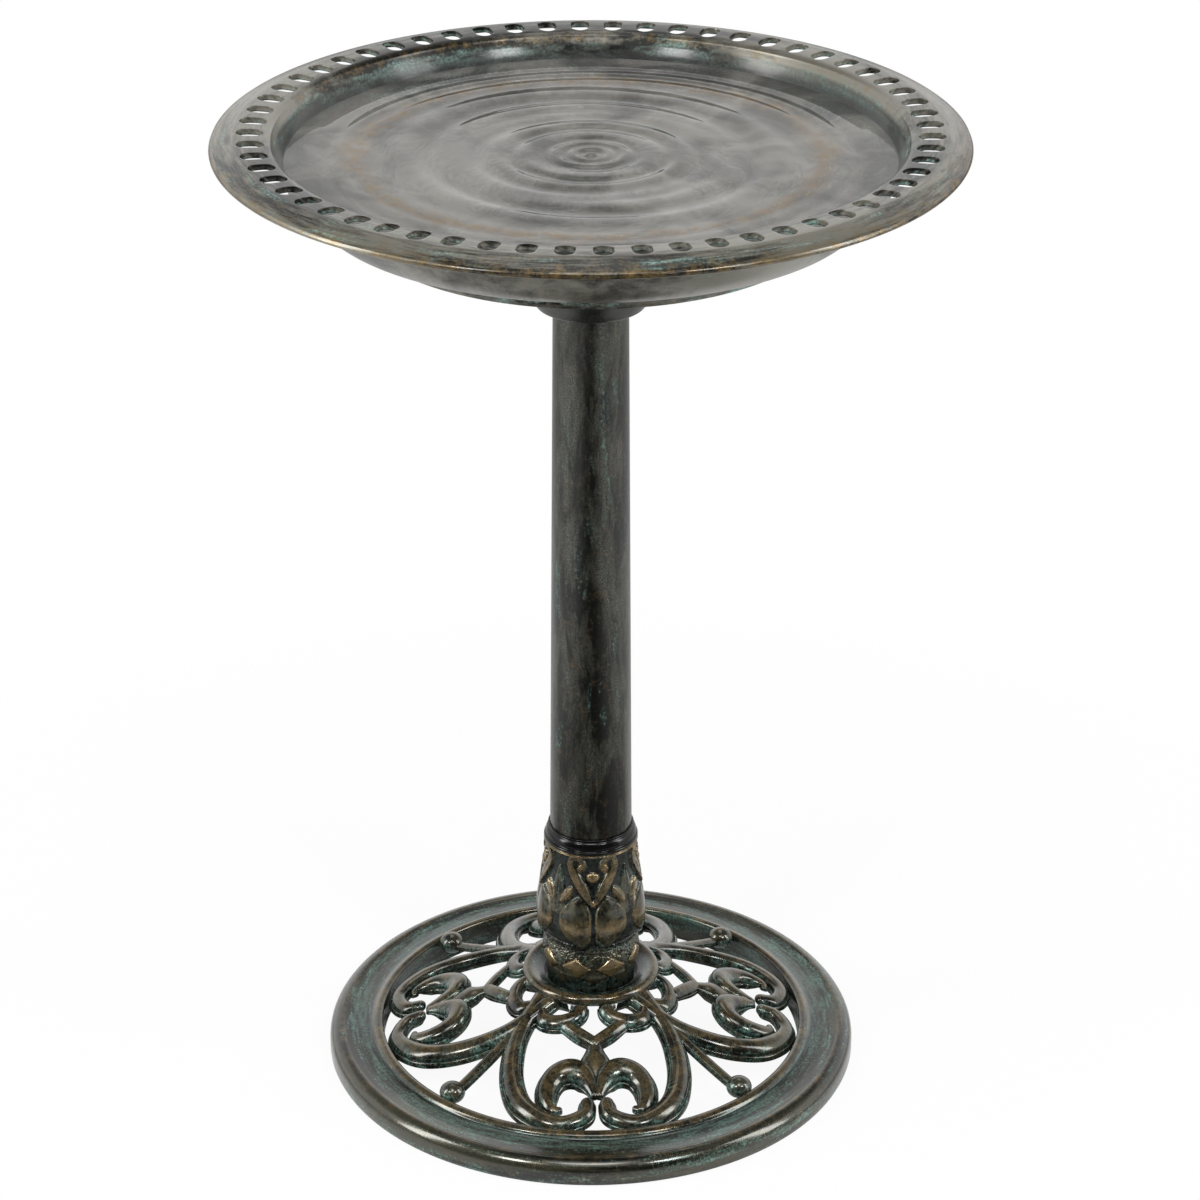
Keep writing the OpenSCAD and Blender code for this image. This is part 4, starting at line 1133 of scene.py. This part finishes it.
black_gloss = plain_stuff("black_gloss_plastic", "#020202", "#060605", 0.0, 0.2, 12, 0.05, lacquer=0.1,
                          mirror=0.36)
zinc = plain_stuff("zinc_plated_steel", "#a8a9aa", "#8d8f92", 1.0, 0.32, 1.6, 0.05)
black_plastic = plain_stuff("moulded_black_plastic", "#151514", "#232322", 0.0, 0.5, 0.8, 0.06)
rubber = plain_stuff("black_rubber", "#0e0e0e", "#1b1b1a", 0.0, 0.72, 0.7, 0.08)
finish(trim, black_gloss)

# %% Finish the pieces that show the construction model
for node, stuff in (("basin_mount", socket_bronze), ("mount_screws", zinc), ("base_bolt", zinc),
                    ("base_washer", zinc), ("base_nut", zinc), ("column_head", black_plastic),
                    ("column_foot", black_plastic), ("basin_gasket", rubber)):
    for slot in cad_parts[node].material_slots:
        slot.material = stuff
    print(node, "is", stuff.name)

# %% [markdown]
# ## Floor and light
#
# Such an object is shot on a white sweep with a big soft lamp at each side. A black
# card lies on the floor between the camera and the object, and the room behind the
# camera is dark. The column mirrors both, which gives it a dark middle and bright
# sides. The ceiling is dim but for one long strip of light over the object, which
# puts a bright patch on each curved rim. The card, the dark room and the strip are
# only in what shiny surfaces mirror: they are switched in by the ray type, so the
# picture's own background stays white.

# %% Floor that is white to the camera and keeps the shadow
clear_selection()
bpy.ops.mesh.primitive_plane_add(size=60, location=(0, 0, -0.0005))
floor = bpy.context.object
floor.name = "floor"
floor_paint, tree = new_material("white_floor")
floor_ray = add(tree, "LightPath", None, None)
place = add(tree, "TexCoord", None, "Object")
from_middle = add(tree, "VectorMath", {0: place}, "Value", operation="LENGTH")
white = add(tree, "BsdfDiffuse", {"Color": (0.86, 0.86, 0.86, 1)})
glow = add(tree, "Emission", {"Color": (1, 1, 1, 1), "Strength": 1.0})
clean = add(tree, "MapRange", {"Value": from_middle, "From Min": 0.25, "From Max": 0.8, "To Min": 0.93})
to_eye = add(tree, "Math", {0: floor_ray["Is Camera Ray"], 1: floor_ray["Is Transmission Ray"]},
             operation="MAXIMUM")
glowing = add(tree, "Math", {0: to_eye, 1: clean}, operation="MULTIPLY")
paper = add(tree, "MixShader", {"Fac": glowing, 1: white, 2: glow})
print("floor at", floor.location.z, "m")

# %% Black card that only shiny surfaces see
sides = add(tree, "SeparateXYZ", {"Vector": place}, None)
off_axis = add(tree, "Math", {0: sides["X"]}, operation="ABSOLUTE")
aside = add(tree, "MapRange", {"Value": off_axis, "From Min": 0.25, "From Max": 0.6})
near = add(tree, "MapRange", {"Value": from_middle, "From Min": 0.2, "From Max": 0.34, "To Min": 1.0,
                              "To Max": 0.0})
behind = add(tree, "MapRange", {"Value": sides["Y"], "From Min": 0.0, "From Max": 0.2})
aside_or_near = add(tree, "Math", {0: aside, 1: near}, operation="MAXIMUM")
open_floor = add(tree, "Math", {0: aside_or_near, 1: behind}, operation="MAXIMUM")
spared = add(tree, "Math", {0: open_floor, 1: floor_ray["Is Glossy Ray"]}, operation="MULTIPLY")
carded = add(tree, "Math", {0: floor_ray["Is Glossy Ray"], 1: spared}, operation="SUBTRACT")
card = add(tree, "BsdfDiffuse", {"Color": (0.04, 0.04, 0.04, 1)})
with_card = add(tree, "MixShader", {"Fac": carded, 1: paper, 2: card})
add(tree, "OutputMaterial", {"Surface": with_card}, None)
finish(floor, floor_paint)
print("card nodes in the floor:", len(tree.nodes))

# %% World: what the shiny surfaces mirror, and white for the camera
world = bpy.data.worlds.new("studio")
bpy.context.scene.world = world
world.use_nodes = True
tree = world.node_tree
tree.nodes.clear()
sky_ray = add(tree, "LightPath", None, None)
direction = add(tree, "TexCoord", None, "Generated")
toward = add(tree, "SeparateXYZ", {"Vector": direction}, None)
walls = add(tree, "MapRange", {"Value": toward["Y"], "From Min": -0.6, "From Max": 0.25, "To Min": 0.05},
            interpolation_type="SMOOTHSTEP")
ceiling = add(tree, "MapRange", {"Value": toward["Z"], "From Min": 0.48, "From Max": 0.68, "To Min": 1.0,
                                 "To Max": 0.13})
room = add(tree, "Math", {0: walls, 1: ceiling}, operation="MULTIPLY")
off_strip = add(tree, "Math", {0: toward["X"]}, operation="ABSOLUTE")
width = add(tree, "MapRange", {"Value": off_strip, "From Min": 0.1, "From Max": 0.22, "To Min": 1.6,
                               "To Max": 0.0})
overhead = add(tree, "MapRange", {"Value": toward["Z"], "From Min": 0.7, "From Max": 0.8})
strip = add(tree, "Math", {0: width, 1: overhead}, operation="MULTIPLY")
mirrored_room = add(tree, "Math", {0: room, 1: strip}, operation="MAXIMUM")
sky_to_eye = add(tree, "Math", {0: sky_ray["Is Camera Ray"], 1: sky_ray["Is Transmission Ray"]},
                 operation="MAXIMUM")
unseen = add(tree, "Mix", {"Factor": sky_ray["Is Glossy Ray"], "A": 0.33, "B": mirrored_room}, "Result")
strength = add(tree, "Mix", {"Factor": sky_to_eye, "A": unseen, "B": 1.0}, "Result")
sky = add(tree, "Background", {"Color": (1, 1, 1, 1), "Strength": strength})
add(tree, "OutputWorld", {"Surface": sky}, None)
print("world nodes:", len(tree.nodes))


# %% Lamps
def soft_lamp(name, place, aim, width, depth, watts):
    """A rectangular lamp at a place, turned to face another place, all in metres."""
    data = bpy.data.lights.new(name, "AREA")
    data.shape, data.size, data.size_y, data.energy = "RECTANGLE", width, depth, watts
    lamp = bpy.data.objects.new(name, data)
    bpy.context.scene.collection.objects.link(lamp)
    lamp.location = place
    lamp.rotation_euler = (Vector(aim) - Vector(place)).to_track_quat("-Z", "Y").to_euler()


soft_lamp("lamp_left", (-1.9, -0.5, 1.2), (0, 0, 0.3), 0.5, 1.5, 23)
soft_lamp("lamp_right", (1.9, -0.4, 1.2), (0, 0, 0.3), 0.5, 1.5, 18)
soft_lamp("lamp_above", (0, -1.2, 2.6), (0, 0, 0.2), 0.9, 0.5, 10)
soft_lamp("lamp_front_left", (-1.1, -1.5, 1.9), (0, 0, 0.1), 0.4, 0.4, 14)
soft_lamp("lamp_front_right", (1.1, -1.5, 1.9), (0, 0, 0.1), 0.4, 0.4, 14)
bpy.context.scene.view_settings.view_transform = "Standard"
